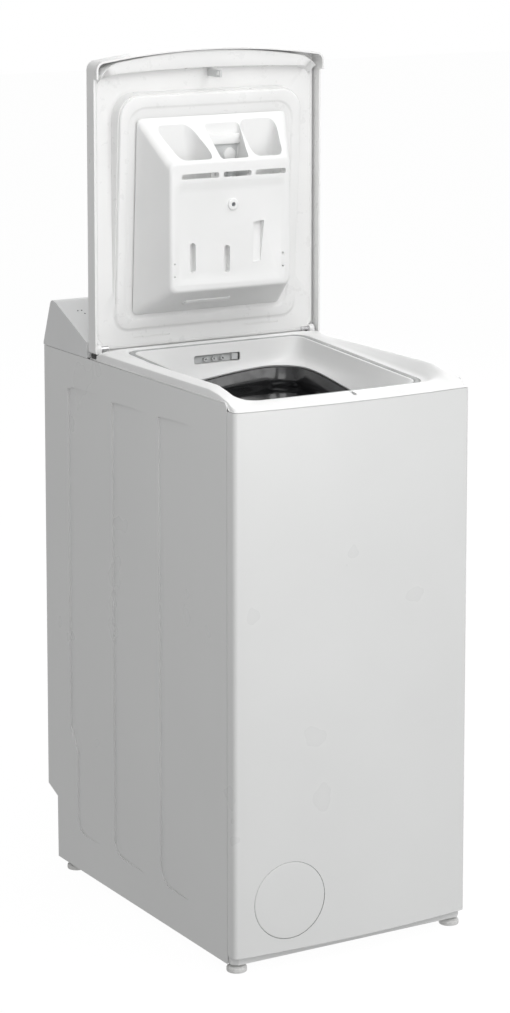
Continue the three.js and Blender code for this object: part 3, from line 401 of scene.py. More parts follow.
# ------------------------------------------------------------------ carried-over nodes: finish and softened edges
FINISH = {
    "base_frame": ("enamel", 0.5), "side_panel_left": ("enamel", 0.45), "side_panel_right": ("enamel", 0.45),
    "front_panel": ("enamel", 0.35), "filter_cover": ("enamel", 0.5), "rear_panel": ("enamel_rear", 0.35),
    "console_housing": ("console", 1.4), "nozzle_manifold": ("pale", 0.5), "control_board": ("board", 0.3),
    "inlet_valve": ("white", 0.5), "cable_gland": ("dark", 0.6), "drain_hose": ("hose", 0.5), "fill_hose": ("hose_pale", 0),
    "drain_pump_housing": ("pale", 0.6), "pump_filter": ("grey", 0.7), "pump_impeller": ("dark", 0.4),
    "lid_lock_housing": ("pale", 0.6), "lid_lock_bolt": ("grey", 0.4), "lid_latch_hook": ("pale", 0.5),
    "lid_hinge_left": ("bright", 0.5), "lid_hinge_right": ("bright", 0.5), "lid_outer_shell": ("lid_white", 1.0),
    "siphon_cap": ("pale", 0.7), "program_knob": ("knob", 0.8), "button_1": ("knob", 0.7), "button_2": ("knob", 0.7), "button_3": ("knob", 0.7),
    "foot_front_left": ("foot", 0.5), "foot_front_right": ("foot", 0.5), "foot_rear_left": ("foot", 0.5), "foot_rear_right": ("foot", 0.5),
    "tub_left_half": ("tub", 0.6), "tub_right_half": ("tub", 0.6), "bearing_left": ("bright", 0.4), "bearing_right": ("bright", 0.4),
    "heater_element": ("steel", 0), "counterweight_front": ("concrete", 3.0), "counterweight_rear": ("concrete", 3.0),
    "motor": ("iron", 0.8), "motor_pulley": ("bright", 0.3), "damper_rod_front": ("bright", 0.4), "damper_rod_rear": ("bright", 0.4),
    "damper_cylinder_front": ("dark", 0.6), "damper_cylinder_rear": ("dark", 0.6), "drive_belt": ("belt", 0.4),
    "drum_shell": ("drum", 0.4), "drum_pulley": ("pulley", 0.6), "drum_flap_front": ("drum", 0.5), "drum_flap_rear": ("drum", 0.5),
    "drum_latch_button": ("dark", 0.6), "sump_hose": ("hose", 0), "spring_front_left": ("steel", 0), "spring_front_right": ("steel", 0),
    "spring_rear_left": ("steel", 0), "spring_rear_right": ("steel", 0), "top_frame": ("white", 0.6), "rim_gasket": ("seal", 0.3),
    "bellows": ("bellows", 0.5), "lid_inner_panel": ("lid_white", 0.8), "dispenser_body": ("white", 1.0),
}


def dress(ob, mat, width):
    ob.data.materials.clear()
    ob.data.materials.append(M[mat])
    a = ob.data.attributes.get("custom_normal")
    if a is not None:
        ob.data.attributes.remove(a)
    ob.data.polygons.foreach_set("use_smooth", [True] * len(ob.data.polygons))
    ob.data.update()
    w = ob.modifiers.new("weld", "WELD")
    w.merge_threshold = 2e-6
    if width:
        b = ob.modifiers.new("soft_edges", "BEVEL")
        b.width = width * MM
        b.segments = 3 if width >= 0.7 else 2
        b.limit_method = "ANGLE"
        b.angle_limit = rad(32)
        b.use_clamp_overlap = True
        b.harden_normals = True
        b.miter_outer = "MITER_ARC"


for node, (mat, width) in FINISH.items():
    dress(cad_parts[node], mat, width)
for node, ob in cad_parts.items():
    if node not in FINISH:
        dress(ob, "pale", 0.4)


# ------------------------------------------------------------------ mesh helpers (millimetres)
def make(name, verts, faces, mat, body, node=None, sharp=35, slot=None, smooth=True):
    me = bpy.data.meshes.new(name)
    me.from_pydata([tuple(c * MM for c in v) for v in verts], [], faces)
    me.validate()
    bm = bmesh.new()
    bm.from_mesh(me)
    bmesh.ops.remove_doubles(bm, verts=bm.verts, dist=1e-6)
    bmesh.ops.recalc_face_normals(bm, faces=bm.faces)
    bm.to_mesh(me)
    bm.free()
    ob = bpy.data.objects.new(name, me)
    scene.collection.objects.link(ob)
    me.materials.append(M[mat])
    if smooth:
        me.shade_smooth()
        me.set_sharp_from_angle(angle=rad(sharp))
    if body:
        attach(ob, body)
    if node:
        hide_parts(*([node] if isinstance(node, str) else node))
    return ob


def rr(hx, yf, yr, r, bow=0.0, rb=None, arc=9, side=44, front=36, back=24):
    """Rounded rectangle seen from above, counter-clockwise from the right rear corner."""
    rb = r if rb is None else rb
    pts = []

    def corner(cx, cy, q, a0):
        for i in range(arc + 1):
            t = rad(a0 + 90.0 * i / arc)
            pts.append([cx + q * math.cos(t), cy + q * math.sin(t)])
    corner(hx - rb, yr - rb, rb, 0)
    for i in range(1, back):
        pts.append([(hx - rb) * (1 - 2 * i / back), yr])
    corner(-hx + rb, yr - rb, rb, 90)
    for i in range(1, side):
        pts.append([-hx, yr - rb + (yf + r - yr + rb) * i / side])
    corner(-hx + r, yf + r, r, 180)
    for i in range(1, front):
        pts.append([(-hx + r) * (1 - 2 * i / front), yf])
    corner(hx - r, yf + r, r, 270)
    for i in range(1, side):
        pts.append([hx, yf + r + (yr - rb - yf - r) * i / side])
    a = np.array(pts)
    low = a[:, 1] < yf + r + 0.01
    a[low, 1] -= bow * np.clip(1 - (a[low, 0] / (hx - r / 2)) ** 2, 0, None)
    return a


def ring(spec, zf, dz=0.0, **kw):
    a = rr(*spec, **kw)
    z = np.array([zf(y) for y in a[:, 1]]) + dz
    return np.column_stack([a, z])


def ease(rings, spans, k=4):
    """Rings with smooth spans (start, end index) rounded through Catmull-Rom points."""
    out = []
    n = len(rings)
    for i in range(n):
        out.append(rings[i])
        run = next((s for s in spans if s[0] <= i < s[1]), None)
        if run and i + 1 < n:
            p0 = rings[max(run[0], i - 1)]
            p1, p2 = rings[i], rings[i + 1]
            p3 = rings[min(run[1], i + 2)]
            for j in range(1, k):
                t = j / k
                out.append(0.5 * ((2 * p1) + (p2 - p0) * t + (2 * p0 - 5 * p1 + 4 * p2 - p3) * t * t + (3 * p1 - p0 - 3 * p2 + p3) * t ** 3))
    return out


def loft(rings, closed=False, cap0=False, cap1=False):
    n = len(rings[0])
    verts = np.concatenate(rings)
    faces = []
    m = len(rings)
    for k in range(m if closed else m - 1):
        for i in range(n):
            j = (i + 1) % n
            a, b = k * n, ((k + 1) % m) * n
            faces.append((a + i, a + j, b + j, b + i))
    if cap0:
        faces.append(tuple(range(n))[::-1])
    if cap1:
        faces.append(tuple((m - 1) * n + i for i in range(n)))
    return verts, faces


def rrect(u0, u1, v0, v1, r, n=6):
    pts = []
    for cx, cy, a0 in ((u1 - r, v1 - r, 0), (u0 + r, v1 - r, 90), (u0 + r, v0 + r, 180), (u1 - r, v0 + r, 270)):
        for i in range(n + 1):
            t = rad(a0 + 90 * i / n)
            pts.append((cx + r * math.cos(t), cy + r * math.sin(t)))
    return np.array(pts)


def circ(u, v, r, n=32):
    return np.array([(u + r * math.cos(2 * math.pi * i / n), v + r * math.sin(2 * math.pi * i / n)) for i in range(n)])


def place(o2, axis, w):
    """2-D outline at height w on an axis: (y,z) for x, (x,z) for y, (x,y) for z."""
    o2 = np.asarray(o2, float)
    c = np.full((len(o2), 1), float(w))
    if axis == "x":
        return np.hstack([c, o2])
    if axis == "y":
        return np.hstack([o2[:, :1], c, o2[:, 1:]])
    return np.hstack([o2, c])


def pillar(o2, axis, a, b, top=None, r=0.0, n=3):
    """Closed prism; with r, its end at b is rounded over by r."""
    rings = [place(o2, axis, a)]
    if r:
        cen = np.mean(o2, axis=0)
        s = 1 if b > a else -1
        for i in range(n + 1):
            t = rad(90 * i / n)
            inset = r * (1 - math.cos(t))
            d = np.asarray(o2) - cen
            q = cen + d * (1 - inset / np.maximum(np.linalg.norm(d, axis=1, keepdims=True), 1e-6))
            rings.append(place(q, axis, b - s * r * (1 - math.sin(t))))
    else:
        rings.append(place(o2 if top is None else top, axis, b))
    return loft(rings, cap0=True, cap1=True)


def merge(*parts):
    verts, faces = [], []
    for v, f in parts:
        o = sum(len(x) for x in verts)
        verts.append(np.asarray(v))
        faces += [tuple(i + o for i in q) for q in f]
    return np.concatenate(verts), faces


def turn(v, rot=None, at=(0, 0, 0)):
    v = np.asarray(v, float)
    if rot is not None:
        v = v @ np.array(rot.to_3x3()).T
    return v + np.array(at)


def opened(v):
    """Lid pieces are drawn closed about the hinge (x, y, z) and stand opened."""
    v = np.asarray(v, float)
    return np.column_stack([v[:, 0], 138 + v[:, 2], 849 - v[:, 1]])


def settle(ob):
    dg = bpy.context.evaluated_depsgraph_get()
    me = bpy.data.meshes.new_from_object(ob.evaluated_get(dg))
    ob.modifiers.clear()
    old = ob.data
    ob.data = me
    bpy.data.meshes.remove(old)


def carve(ob, cutters, op="DIFFERENCE"):
    for v, f in cutters:
        c = make("cutter", v, f, "white", None, smooth=False)
        b = ob.modifiers.new("cut", "BOOLEAN")
        b.operation, b.solver, b.object = op, "EXACT", c
        settle(ob)
        bpy.data.objects.remove(c)


def soften(ob, width, angle=35, segments=2, keep=True):
    b = ob.modifiers.new("soft", "BEVEL")
    b.width, b.segments, b.limit_method, b.angle_limit = width * MM, segments, "ANGLE", rad(angle)
    b.use_clamp_overlap = True
    b.harden_normals = True
    ob.data.shade_smooth()
    if not keep:
        settle(ob)


# ------------------------------------------------------------------ top frame and funnel
def table(y, t):
    return float(np.interp(y, [p[0] for p in t], [p[1] for p in t]))


def rim(y): return 826.5 + (y + 240) * 20 / 350
def zb(y): return table(y, [(-269.5, 823), (-268, 828), (-265, 833.4)])
def zo(y): return table(y, [(-300, 824.2), (-290, 825), (-276, 829.5), (-266, 834.8), (-238, 842), (-212, 845.5), (121, 845.5), (124, 836.5)])
def zr(y): return table(y, [(-300, 827), (-272, 831.5), (-262, 836.5), (-238, 844), (-212, 849.3)])
def zs(y): return min(zr(y) - 0.5, rim(y) + 2.2)
def shut(y, hi, lo): return hi + (lo - hi) * min(1, max(0, (y - 84) / 18))


def arch(q, k):
    """The throat sweeps up towards its right rear corner."""
    a, b = np.clip((q[:, 0] + 120) / 210, 0, 1), np.clip((q[:, 1] + 130) / 180, 0, 1)
    q[:, 2] += k * a * a * (3 - 2 * a) * b * b * (3 - 2 * b)
    return q


top = [
    ring((198.5, -289.4, 152.4, 7, 10), zb),
    ring((198.5, -289.4, 152.4, 7, 10), zb, 0.6),
    ring((196.2, -288.6, 151.4, 9, 10), zb, 0.8),
    ring((196.2, -287.4, 125, 12, 9.6, 6), zo, -1.2),
    ring((195.4, -286.7, 124.6, 12.5, 9.3, 6.5), zo, -0.1),
    ring((192, -283.5, 123, 15, 8.4, 9), lambda y: zo(y) * 0.72 + zr(y) * 0.28),
    ring((180, -272, 118, 26, 4, 18), zr),
    ring((171, -260, 116, 30, 3, 19), lambda y: zr(y) * 0.45 + zs(y) * 0.55),
    ring((165, -253, 114.5, 34, 2, 20), zs),
    ring((159, -246, 112.5, 34, 0, 22), rim),
    ring((158.8, -245.8, 112.3, 34, 0, 22), lambda y: rim(y) - 4),
    ring((149.6, -236.6, 106.2, 27, 0, 18), lambda y: rim(y) - 4),
    ring((149.4, -236.4, 106, 27, 0, 18), lambda y: rim(y) - 0.6),
    ring((147.4, -234.6, 104.8, 26, 0, 17), lambda y: rim(y) - 1.2),
    arch(ring((140, -222, 102.5, 34, 0, 28), lambda y: 812), 3),
    arch(ring((129, -201, 97, 44, 0, 46), lambda y: 787), 18),
    arch(ring((130.5, -202.4, 98.6, 45, 0, 47), lambda y: 784.4), 18),
    arch(ring((143, -225, 105.4, 36, 0, 30), lambda y: 809.6), 3),
    ring((148.5, -236.5, 108.6, 28, 0, 20), lambda y: rim(y) - 8),
    ring((162.5, -249.5, 114.6, 36, 0, 25), lambda y: rim(y) - 8),
    ring((167, -256, 116, 34, 2, 22), lambda y: shut(y, zs(y) - 4.2, 838.2)),
    ring((179.5, -270, 118, 26, 4, 18), lambda y: shut(y, zr(y) - 3.6, 837.2)),
    ring((192.8, -283.2, 121.6, 12, 9.6, 6), lambda y: shut(y, max(zo(y) - 4.4, zb(y) + 0.4), 833.9)),
    ring((193.2, -285.6, 148.6, 9, 10), lambda y: zb(y) + 0.3),
    ring((193.8, -286.4, 149.4, 7, 10), zb),
]
top = ease(top, [(4, 9), (13, 15)], 4)
tf = make("top_frame_skin", *loft(top, closed=True), "white", "cabinet", "top_frame", sharp=38, slot="white_plastic")
parts = []
for s in (-1, 1):
    a, b = (-194.3, -185.7) if s < 0 else (185.7, 194.3)
    prof = [(131.4, 833.9), (144.6, 833.9)] + [(138 + 6.6 * math.cos(t), 849 + 6.6 * math.sin(t)) for t in np.linspace(0, math.pi, 15)]
    parts.append(pillar(prof, "x", a, b))
bosses = make("hinge_bosses", *merge(*parts), "white", "cabinet", slot="white_plastic")
soften(bosses, 0.5)
carve(tf, [
    pillar(rrect(-41, 41, 817, 830, 3), "y", 96, 111.8),
    pillar(rrect(3.0, 9.0, -282.8, -268.4, 1.5, 3), "z", 812, 845),
])
tf.data.shade_smooth()
tf.data.set_sharp_from_angle(angle=rad(38))
slot_back = make("water_slot_back", *pillar(rrect(-41.5, 41.5, 816.5, 830.5, 3), "y", 111.2, 112.2), "pale", "cabinet", slot="white_plastic")

# seal lying in the groove of the rim: a flat foot with a raised crown
seal = [
    ring((158.2, -245.2, 111.7, 33.5, 0, 21.5), rim, -3.6), ring((158.2, -245.2, 111.7, 33.5, 0, 21.5), rim, -0.9),
    ring((157.0, -244.0, 111.0, 32.6, 0, 21.1), rim, -0.1), ring((155.0, -242.0, 109.6, 31, 0, 20.4), rim, 0.6),
    ring((153.0, -240.0, 108.4, 29.6, 0, 19.6), rim, 0.6), ring((151.4, -238.4, 107.4, 28.4, 0, 18.9), rim, -0.1),
    ring((150.2, -237.2, 106.8, 27.5, 0, 18.4), rim, -0.9), ring((150.2, -237.2, 106.8, 27.5, 0, 18.4), rim, -3.6)]
make("rim_seal", *loft(seal, closed=True), "seal", "cabinet", "rim_gasket", sharp=60, slot="seal_grey")

# bellows: moulded folds between the funnel and the tub neck
def flat(z): return lambda y: z


folds = [
    arch(ring((131, -203, 99, 46, 0, 48), flat(784)), 18), arch(ring((127, -199, 95, 42, 0, 44), flat(783.4)), 18),
    arch(ring((121, -190, 88, 40, 0, 42), flat(768)), 13), arch(ring((127, -196, 94, 40, 0, 42), flat(756)), 8),
    ring((119, -184, 86, 38, 0, 34), flat(742)), ring((121, -180, 90, 36, 0, 32), flat(730)),
    ring((113, -166, 109, 14, 0, 12), flat(716.8)), ring((117, -170, 113, 16, 0, 14), flat(716.8)),
    ring((124.5, -183.5, 94, 38, 0, 34), flat(729)), ring((122.5, -187.5, 89.6, 40, 0, 36), flat(742)),
    arch(ring((130.5, -199.5, 97.5, 42, 0, 44), flat(756)), 8), arch(ring((124.5, -193.5, 91.6, 42, 0, 44), flat(768)), 13),
    arch(ring((129, -201, 97.4, 44, 0, 46), flat(780.4)), 18), arch(ring((131, -203, 99, 46, 0, 48), flat(780.4)), 18)]
folds = ease(folds, [(1, 6), (7, 12)], 5)
bel = make("bellows_skin", *loft(folds, closed=True), "bellows", None, "bellows", sharp=50, slot="bellows_rubber")
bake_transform(bel)


def between(node, name):
    """A hose or spring whose lower or upper end moves with the tub; same shape as its solid at rest."""
    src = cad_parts[node]
    me = src.data.copy()
    bm = bmesh.new()
    bm.from_mesh(me)
    bmesh.ops.remove_doubles(bm, verts=bm.verts, dist=2e-6)
    bm.to_mesh(me)
    bm.free()
    me.shade_smooth()
    me.set_sharp_from_angle(angle=rad(50))
    ob = bpy.data.objects.new(name, me)
    scene.collection.objects.link(ob)
    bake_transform(ob)
    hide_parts(node)
    return ob


between("sump_hose", "sump_hose_skin")
for side in ("front_left", "front_right", "rear_left", "rear_right"):
    between("spring_" + side, "spring_skin_" + side)



# ------------------------------------------------------------------ round service cover, following the bow of the front
def bow(x): return -290 - 10 * (1 - (x / 193) ** 2)


seg, rings = 96, []
for r, d in ((0.01, 2.6), (57.0, 2.6), (57.0, 0.9), (56.7, 0.35), (56.1, 0.05), (55.2, 0.0), (42, 0.0), (28, 0.0), (14, 0.0), (0.02, 0.0)):
    o2 = circ(-111, 100, r, seg)
    rings.append(np.column_stack([o2[:, 0], bow(o2[:, 0]) + d, o2[:, 1]]))
q = loft(rings, cap0=True, cap1=True)
lugs = [pillar(rrect(-111 + a, -111 + a + 3, 47, 60, 0.8, 3), "y", -295.2, -291.6) for a in (-12, 9)]
make("service_cover", *merge(q, *lugs), "enamel", "service_door", "filter_cover", sharp=50, slot="enamel")

# dark ring in the gap round the cover: painted shade of the gap, drawn in the dark print material
gap = []
for r, d in ((57.05, 0.55), (57.95, 0.55), (57.95, 0.8), (57.05, 0.8)):
    o2 = circ(-111, 100, r, seg)
    gap.append(np.column_stack([o2[:, 0], bow(o2[:, 0]) + d, o2[:, 1]]))
make("cover_gap_shade", *loft(gap, closed=True), "print", "cabinet", sharp=50, slot="dark_plastic")

# ------------------------------------------------------------------ lid inner panel
def face(y): return rim(y + 138) - 849 + 1


def crest(y):
    t = min(1, max(0, (-412 - y) / 5))
    return 1.2 - 18.2 * t * t * (3 - 2 * t)


inner = [
    ring((171.5, -433, 2.4, 30, 16, 5), flat(4.0)),
    ring((171.5, -433, 2.4, 30, 16, 5), crest, 0.8),
    ring((171.1, -432.6, 2.0, 29.6, 16, 4.6), crest, 0.2),
    ring((170.4, -431.9, 1.3, 28.9, 16, 3.9), crest),
    ring((167.6, -419.2, -1.2, 27, 5, 4.2), crest),
    ring((167.3, -418.0, -1.6, 26.6, 5, 4.2), crest, 0.5),
    ring((167.0, -416.6, -2.0, 26.2, 5, 4.2), lambda y: crest(y) * 0.3 + 0.84),
    ring((166.6, -415.2, -2.4, 25.8, 5, 4.2), flat(1.2)),
    ring((163.2, -388.2, -21.3, 38.4, 0, 26.4), flat(1.2)),
    ring((161.2, -386.2, -23.3, 36.4, 0, 24.4), lambda y: min(1.1, face(y) + 3.6)),
    ring((159.6, -384.6, -24.9, 34.8, 0, 22.8), lambda y: max(min(-0.4, face(y) + 4.2), face(y) + 1.6)),
    ring((158.8, -383.8, -25.7, 34.0, 0, 22.0), lambda y: face(y) + 1.3),
    ring((158.0, -383.0, -26.5, 33.2, 0, 21.2), lambda y: face(y) + 0.4),
    ring((156.4, -381.4, -28.1, 31.6, 0, 19.6), face),
    ring((146.0, -368.0, -39.0, 30, 0, 22), face),
    ring((144.6, -366.6, -40.4, 28.6, 0, 20.6), face, 0.25),
    ring((143.0, -365.0, -42.0, 27.0, 0, 19.0), face, 1.5),
    ring((141.4, -363.4, -43.6, 25.4, 0, 17.4), face, 1.8),
]
for k in range(8):
    q = inner[k]
    t = np.clip((-9 - q[:, 1]) / 3, 0, 1)
    q[:, 0] *= 1.076 + 0.049 * t * t * (3 - 2 * t)
v, f = loft(inner, cap0=True, cap1=True)
lip = make("lid_inner_skin", opened(v), f, "lid_white", "lid", "lid_inner_panel", sharp=50, slot="white_plastic")
carve(lip, [
    (opened(pillar(rrect(-128, -64, -13.6, -12.2, 0.5, 3), "z", -1, 2.6)[0]), pillar(rrect(-128, -64, -13.6, -12.2, 0.5, 3), "z", -1, 2.6)[1]),
    (opened(pillar(rrect(68, 130, -16.8, -15.4, 0.5, 3), "z", -1, 2.6)[0]), pillar(rrect(68, 130, -16.8, -15.4, 0.5, 3), "z", -1, 2.6)[1]),
    (opened(pillar(rrect(-6, 22, -412, -404, 2, 4), "z", -1, 2.8)[0]), pillar(rrect(-6, 22, -412, -404, 2, 4), "z", -1, 2.8)[1]),
])
lip.data.shade_smooth()
lip.data.set_sharp_from_angle(angle=rad(50))

# ------------------------------------------------------------------ detergent dispenser
def bx(zc): return 131 - 26 * (-zc) / 78      # half width at depth zc


b0, b1 = face(-48) - 0.5, face(-350) - 0.5


def wall(t, grow=0.0, r=12.0):
    """Outline of the dispenser at depth t: 0 on the lid, 1 on its front face."""
    hx = 131 - 26 * t + grow
    o2 = rr(hx, -350 + 68 * t - grow, -48 - 42 * t + grow, r, 0, r, arc=8, side=30, front=26, back=26)
    z = np.array([(face(y) - 0.5) * (1 - t) - 78 * t for y in o2[:, 1]])
    return np.column_stack([o2, z])


R = 7.0
shells = [wall(0.0, 0, 9), wall(0.02, 0, 9), wall(0.3, 0, 10), wall(0.6, 0, 11), wall(0.86, -0.3, 12)]
for i in range(1, 8):
    a = rad(90 * i / 7)
    q = wall(0.90, -0.6 - R * (1 - math.cos(a)) * 0.9, 12)
    q[:, 2] = q[:, 2] * (1 - math.sin(a)) + (-78) * math.sin(a)
    shells.append(q)
v, f = loft(shells, cap0=True, cap1=True)
disp = make("dispenser_skin", opened(v), f, "white", "dispenser", "dispenser_body", slot="white_plastic", smooth=False)


def chute(x0, x1, y0, y1, z0, z1, r, lean=0.0, inset=5.0, flare=(0, 0)):
    """Pocket cutter: rounded opening towards the top (-y) that narrows downwards, in closed-lid axes."""
    a = rrect(x0, x1, z0, z1, r)
    c = np.array([(x0 + x1) / 2, (z0 + z1) / 2])
    k = np.array([1 - 2 * inset / (x1 - x0), 1 - 2 * inset / (z1 - z0)])
    b = c + (a - c) * k + np.array([lean, 0])
    far = (a[:, 1] - z0) / (z1 - z0)
    out = (a[:, 0] - x0) / (x1 - x0)
    a = a + np.column_stack([far * (flare[0] * (1 - out) + flare[1] * out), far * 0])
    mid = (a * 0.35 + b * 0.65)
    low = c + (b - c) * 0.8 + np.array([lean * 0.25, 0])
    r_ = [place(a, "y", y0), place(a * 0.9 + mid * 0.1, "y", (y0 + y1) / 2), place(mid, "y", y1 + 14), place(b, "y", y1 + 5), place(low, "y", y1)]
    v, f = loft(r_, cap0=True, cap1=True)
    return opened(v), f


a = rr(91, -246, -106, 10, 0, 10, arc=6, side=14, front=14, back=14)
g = rr(95.5, -253, -100, 13, 0, 13, arc=6, side=14, front=14, back=14)
q = loft([np.column_stack([a, np.full(len(a), -75.8)]), np.column_stack([g, np.full(len(g), -78.2)]), np.column_stack([g * 1.01, np.full(len(g), -84)])], cap0=True, cap1=True)
carve(disp, [(opened(q[0]), q[1])])
carve(disp, [
    chute(-86, -23, -400, -241, -74.6, -29, 12, 2, 7, (-22, -24)),
    chute(-14, 35, -400, -241, -74.6, -30, 5, 0, 2.5, (-8, 6)),
    chute(43, 98, -400, -241, -74.6, -27, 12, 0, 7, (-4, 9)),
])
cuts = []
for a, b in ((-86, -21), (-13, 36), (43, 97)):
    q = pillar(rrect(a, b, -268.6, -260.4, 3, 5), "z", -82, -66)
    cuts.append((opened(q[0]), q[1]))
for x, y0, y1 in ((-66, -163, -118), (-6, -156, -114)):
    q = pillar(rrect(x - 5, x + 5, y0, y1, 4.9, 8), "z", -80, -66)
    cuts.append((opened(q[0]), q[1]))
tap = np.array([(40, -189), (60, -191), (53, -126), (39, -125)])
deep = place(tap * 0.92 + tap.mean(axis=0) * 0.08, "z", -74.5)
deep[:2, 2] = -66
q = loft([place(tap, "z", -80), deep], cap0=True, cap1=True)
cuts.append((opened(q[0]), q[1]))
for x, y in ((-98.4, -114), (-98.4, -133), (92.6, -117), (92.6, -137)):
    q = pillar(circ(x, y, 1.3, 12), "z", -80, -72)
    cuts.append((opened(q[0]), q[1]))
# slots, grooves, a tapered cut and small holes in the front face
carve(disp, cuts)
disp.data.shade_smooth()
disp.data.set_sharp_from_angle(angle=rad(32))

q1 = pillar(circ(4, -218, 9, 32), "z", -74, -78.6, r=1.6)
boss = make("dispenser_boss", opened(q1[0]), q1[1], "white", "dispenser", sharp=60, slot="white_plastic")
q = pillar(circ(4, -218, 3.4, 24), "z", -80, -76.2)
carve(boss, [(opened(q[0]), q[1])])
boss.data.shade_smooth()
boss.data.set_sharp_from_angle(angle=rad(50))
q = merge(pillar(circ(4, -218, 3.2, 20), "z", -75, -76.9, r=0.6), pillar(rrect(1.4, 6.6, -218.5, -217.5, 0.2, 2), "z", -76.5, -77.2), pillar(rrect(3.5, 4.5, -220.6, -215.4, 0.2, 2), "z", -76.5, -77.2))
make("dispenser_screw", opened(q[0]), q[1], "grey", "dispenser", sharp=40, slot="dark_plastic")
# release tab on the lower slope
c0 = np.array([(-48 + -86) / 2 - 1, (b0 + -72.5) / 2])
u = np.array([-86 + 48, -72.5 - b0]); u = u / np.linalg.norm(u)
nrm = np.array([u[1], -u[0]])
if nrm[1] > 0:
    nrm = -nrm
tab = []
for w, g in ((-2.0, 0), (2.2, 0), (3.4, 1.4)):
    o2 = rrect(-62 + g, 18 - g, -7 + g, 7 - g, 3)
    tab.append(np.array([(x, *(c0 + u * yy + nrm * w)) for x, yy in o2]))
v, f = loft(tab, cap0=True, cap1=True)
make("dispenser_tab", opened(v), f, "white", "dispenser", sharp=40, slot="white_plastic")

# siphon cap: tray with a ribbed cover and the tube mouth
parts = [pillar(rrect(-10.5, 31.5, -264, -243, 3), "z", -36, -39, r=1.0), pillar(rrect(-10.5, 31.5, -70, -37, 4), "y", -243, -254, r=1.0),
         pillar(circ(11, -55, 5, 24), "y", -248, -272), pillar(circ(11, -55, 7.5, 24), "y", -248, -257, r=1)]
for i in range(5):
    parts.append(pillar(rrect(-6 + i * 8, -4.6 + i * 8, -69, -38, 0.5, 2), "y", -253, -255.6))
q = merge(*parts)
make("siphon_skin", opened(q[0]), q[1], "pale", "siphon", "siphon_cap", sharp=40, slot="white_plastic")

# fixed insert at the back of the middle pocket: ribbed wall, round mouth and the white shelf above it
parts = [pillar(rrect(-20, 39, -306, -262, 2), "z", -29.5, -32.2)]
for i in range(7):
    parts.append(pillar(rrect(-18, 8, -304 + i * 5.4, -302.6 + i * 5.4, 0.5, 2), "z", -31.8, -33.4))
q = merge(*parts)
make("dispenser_insert", opened(q[0]), q[1], "pale", "dispenser", sharp=40, slot="white_plastic")
q = merge(pillar(rrect(-21, 40.5, -321, -305.5, 2.5), "z", -29, -37, r=1.6), pillar(circ(23, -289, 11, 32), "z", -31, -34.8, r=2.2))
make("dispenser_shelf", opened(q[0]), q[1], "white", "dispenser", sharp=40, slot="white_plastic")

# ------------------------------------------------------------------ small parts at the hinges, console, rear and feet
parts = []
for s in (-1, 1):
    parts.append(pillar(rrect(129.5, 146.5, 834.6, 842.2, 2.4, 4), "x", s * 185.2, s * 196.6, r=1.2))
make("hinge_boots", *merge(*parts), "boot", "cabinet", sharp=45, slot="dark_plastic")
parts = []
for s in (-1, 1):
    parts.append(pillar(rrect(140, 151, 843, 852.5, 2.4, 4), "x", s * 176, s * 184.6, r=1.0))
S = math.atan2(901.6 - 858.5, 250 - 155.5)
TILT = Matrix.Rotation(S, 4, "X")


def on_slope(x, s, part, lift=0.0):
    v, f = part
    base = np.array([x, 155.5 + s * math.cos(S) - lift * math.sin(S), 858.5 + s * math.sin(S) + lift * math.cos(S)])
    return turn(v, TILT, base), f


ticks = []
for i in range(12):
    t = rad(30 * i)
    big = i % 3 == 0
    c, s_ = math.cos(t), math.sin(t)
    r0, r1, w = 27.5, (33.0 if big else 30.8), (0.7 if big else 0.45)
    o2 = [(r0 * c - w * s_, r0 * s_ + w * c), (r0 * c + w * s_, r0 * s_ - w * c), (r1 * c + w * s_, r1 * s_ - w * c), (r1 * c - w * s_, r1 * s_ + w * c)]
    ticks.append(on_slope(70, 52, pillar(o2, "z", -0.4, 0.22)))
for x in (-100, -70, -40):
    ticks.append(on_slope(x, 52, pillar(circ(0, 12.5, 1.3, 16), "z", -0.4, 0.2)))
    ticks.append(on_slope(x, 52, pillar(rrect(-5, 5, -10.6, -9.8, 0.3, 2), "z", -0.4, 0.2)))
make("console_marks", *merge(*ticks), "print", "cabinet", sharp=30, slot="dark_plastic")
parts = [on_slope(70, 52, pillar(rrect(-0.7, 0.7, 7, 17.6, 0.5, 3), "z", 16.2, 17.3))]
make("knob_pointer", *merge(*parts), "print", "knob", sharp=30, slot="dark_plastic")
# indicator windows near the left end of the console
parts = []
for x, t in ((-174, 85), (-167.5, 85), (-166, 76), (-163.5, 61)):
    parts.append(on_slope(x, t, pillar(circ(0, 0, 1.3, 16), "z", -0.4, 0.2)))
make("end_marks", *merge(*parts), "print", "cabinet", sharp=30, slot="dark_plastic")


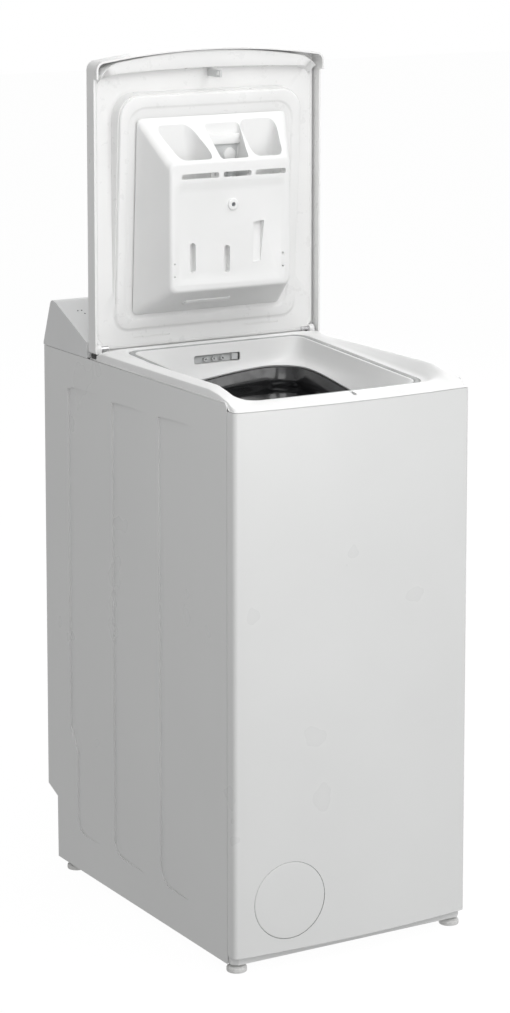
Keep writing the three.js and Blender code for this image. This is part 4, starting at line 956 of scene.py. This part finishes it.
def screw(x, y, z, axis="y", s=1, r=4.2):
    """Flanged hexagon screw head standing on a face."""
    fl = pillar(circ(0, 0, r, 24), "z", -0.3, 0.9, r=0.4)
    hexa = pillar(circ(0, 0, r * 0.66, 6), "z", 0.6, 2.0, r=0.3)
    v, f = merge(fl, hexa)
    rot = {"y": Matrix.Rotation(rad(-90 * s), 4, "X"), "x": Matrix.Rotation(rad(90 * s), 4, "Y")}[axis]
    return turn(v, rot, (x, y, z)), f


parts = []
for z in (150, 290, 430, 570, 790):
    for x in (-186, 186):
        parts.append(screw(x, 297, z))
for x in (-95, 0, 95):
    parts.append(screw(x, 297, 815))
for x in (-186, 186, -60, 60):
    parts.append(screw(x, 264.4, 38))
make("rear_screws", *merge(*parts), "bright", "cabinet", sharp=40, slot="steel")
ribs = []
for z in (250, 390, 530):
    o2 = rrect(-150, 150, z, z + 16, 7.8, 8)
    r0, r1, r2 = place(o2, "y", 296.2), place(rrect(-149, 149, z + 1, z + 15, 6.8, 8), "y", 297.6), place(rrect(-147, 147, z + 3, z + 13, 4.8, 8), "y", 298.3)
    ribs.append(loft([r0, r1, r2], cap0=True, cap1=True))
make("rear_ribs", *merge(*ribs), "enamel_rear", "cabinet", sharp=60, slot="enamel")

for name, x, y, body in (("front_left", -185, -270, "leg_front_left"), ("front_right", 185, -270, "leg_front_right"),
                         ("rear_left", -185, 231, "leg_rear_left"), ("rear_right", 185, 231, "leg_rear_right")):
    seg, rings = 48, []
    for r, z in ((0.01, 0.2), (12.5, 0.2), (14.3, 0.5), (15, 1.8), (15, 5.8), (14.2, 7.2), (12.4, 8.6), (8.2, 9.2), (6.4, 9.6), (5.2, 10.2), (5.0, 12), (5.0, 37.6), (4.4, 38.0), (0.01, 38.0)):
        o2 = circ(x, y, r, seg)
        if 1.5 < z < 6:
            d = o2 - np.array([x, y])
            o2 = np.array([x, y]) + d * np.where(np.arange(seg) % 4 == 0, 0.955, 1.0)[:, None]
        rings.append(place(o2, "z", z))
    ft = make("foot_pad_" + name, *loft(rings, cap0=True, cap1=True), "foot", body, "foot_" + name, sharp=35, slot="foot_plastic")
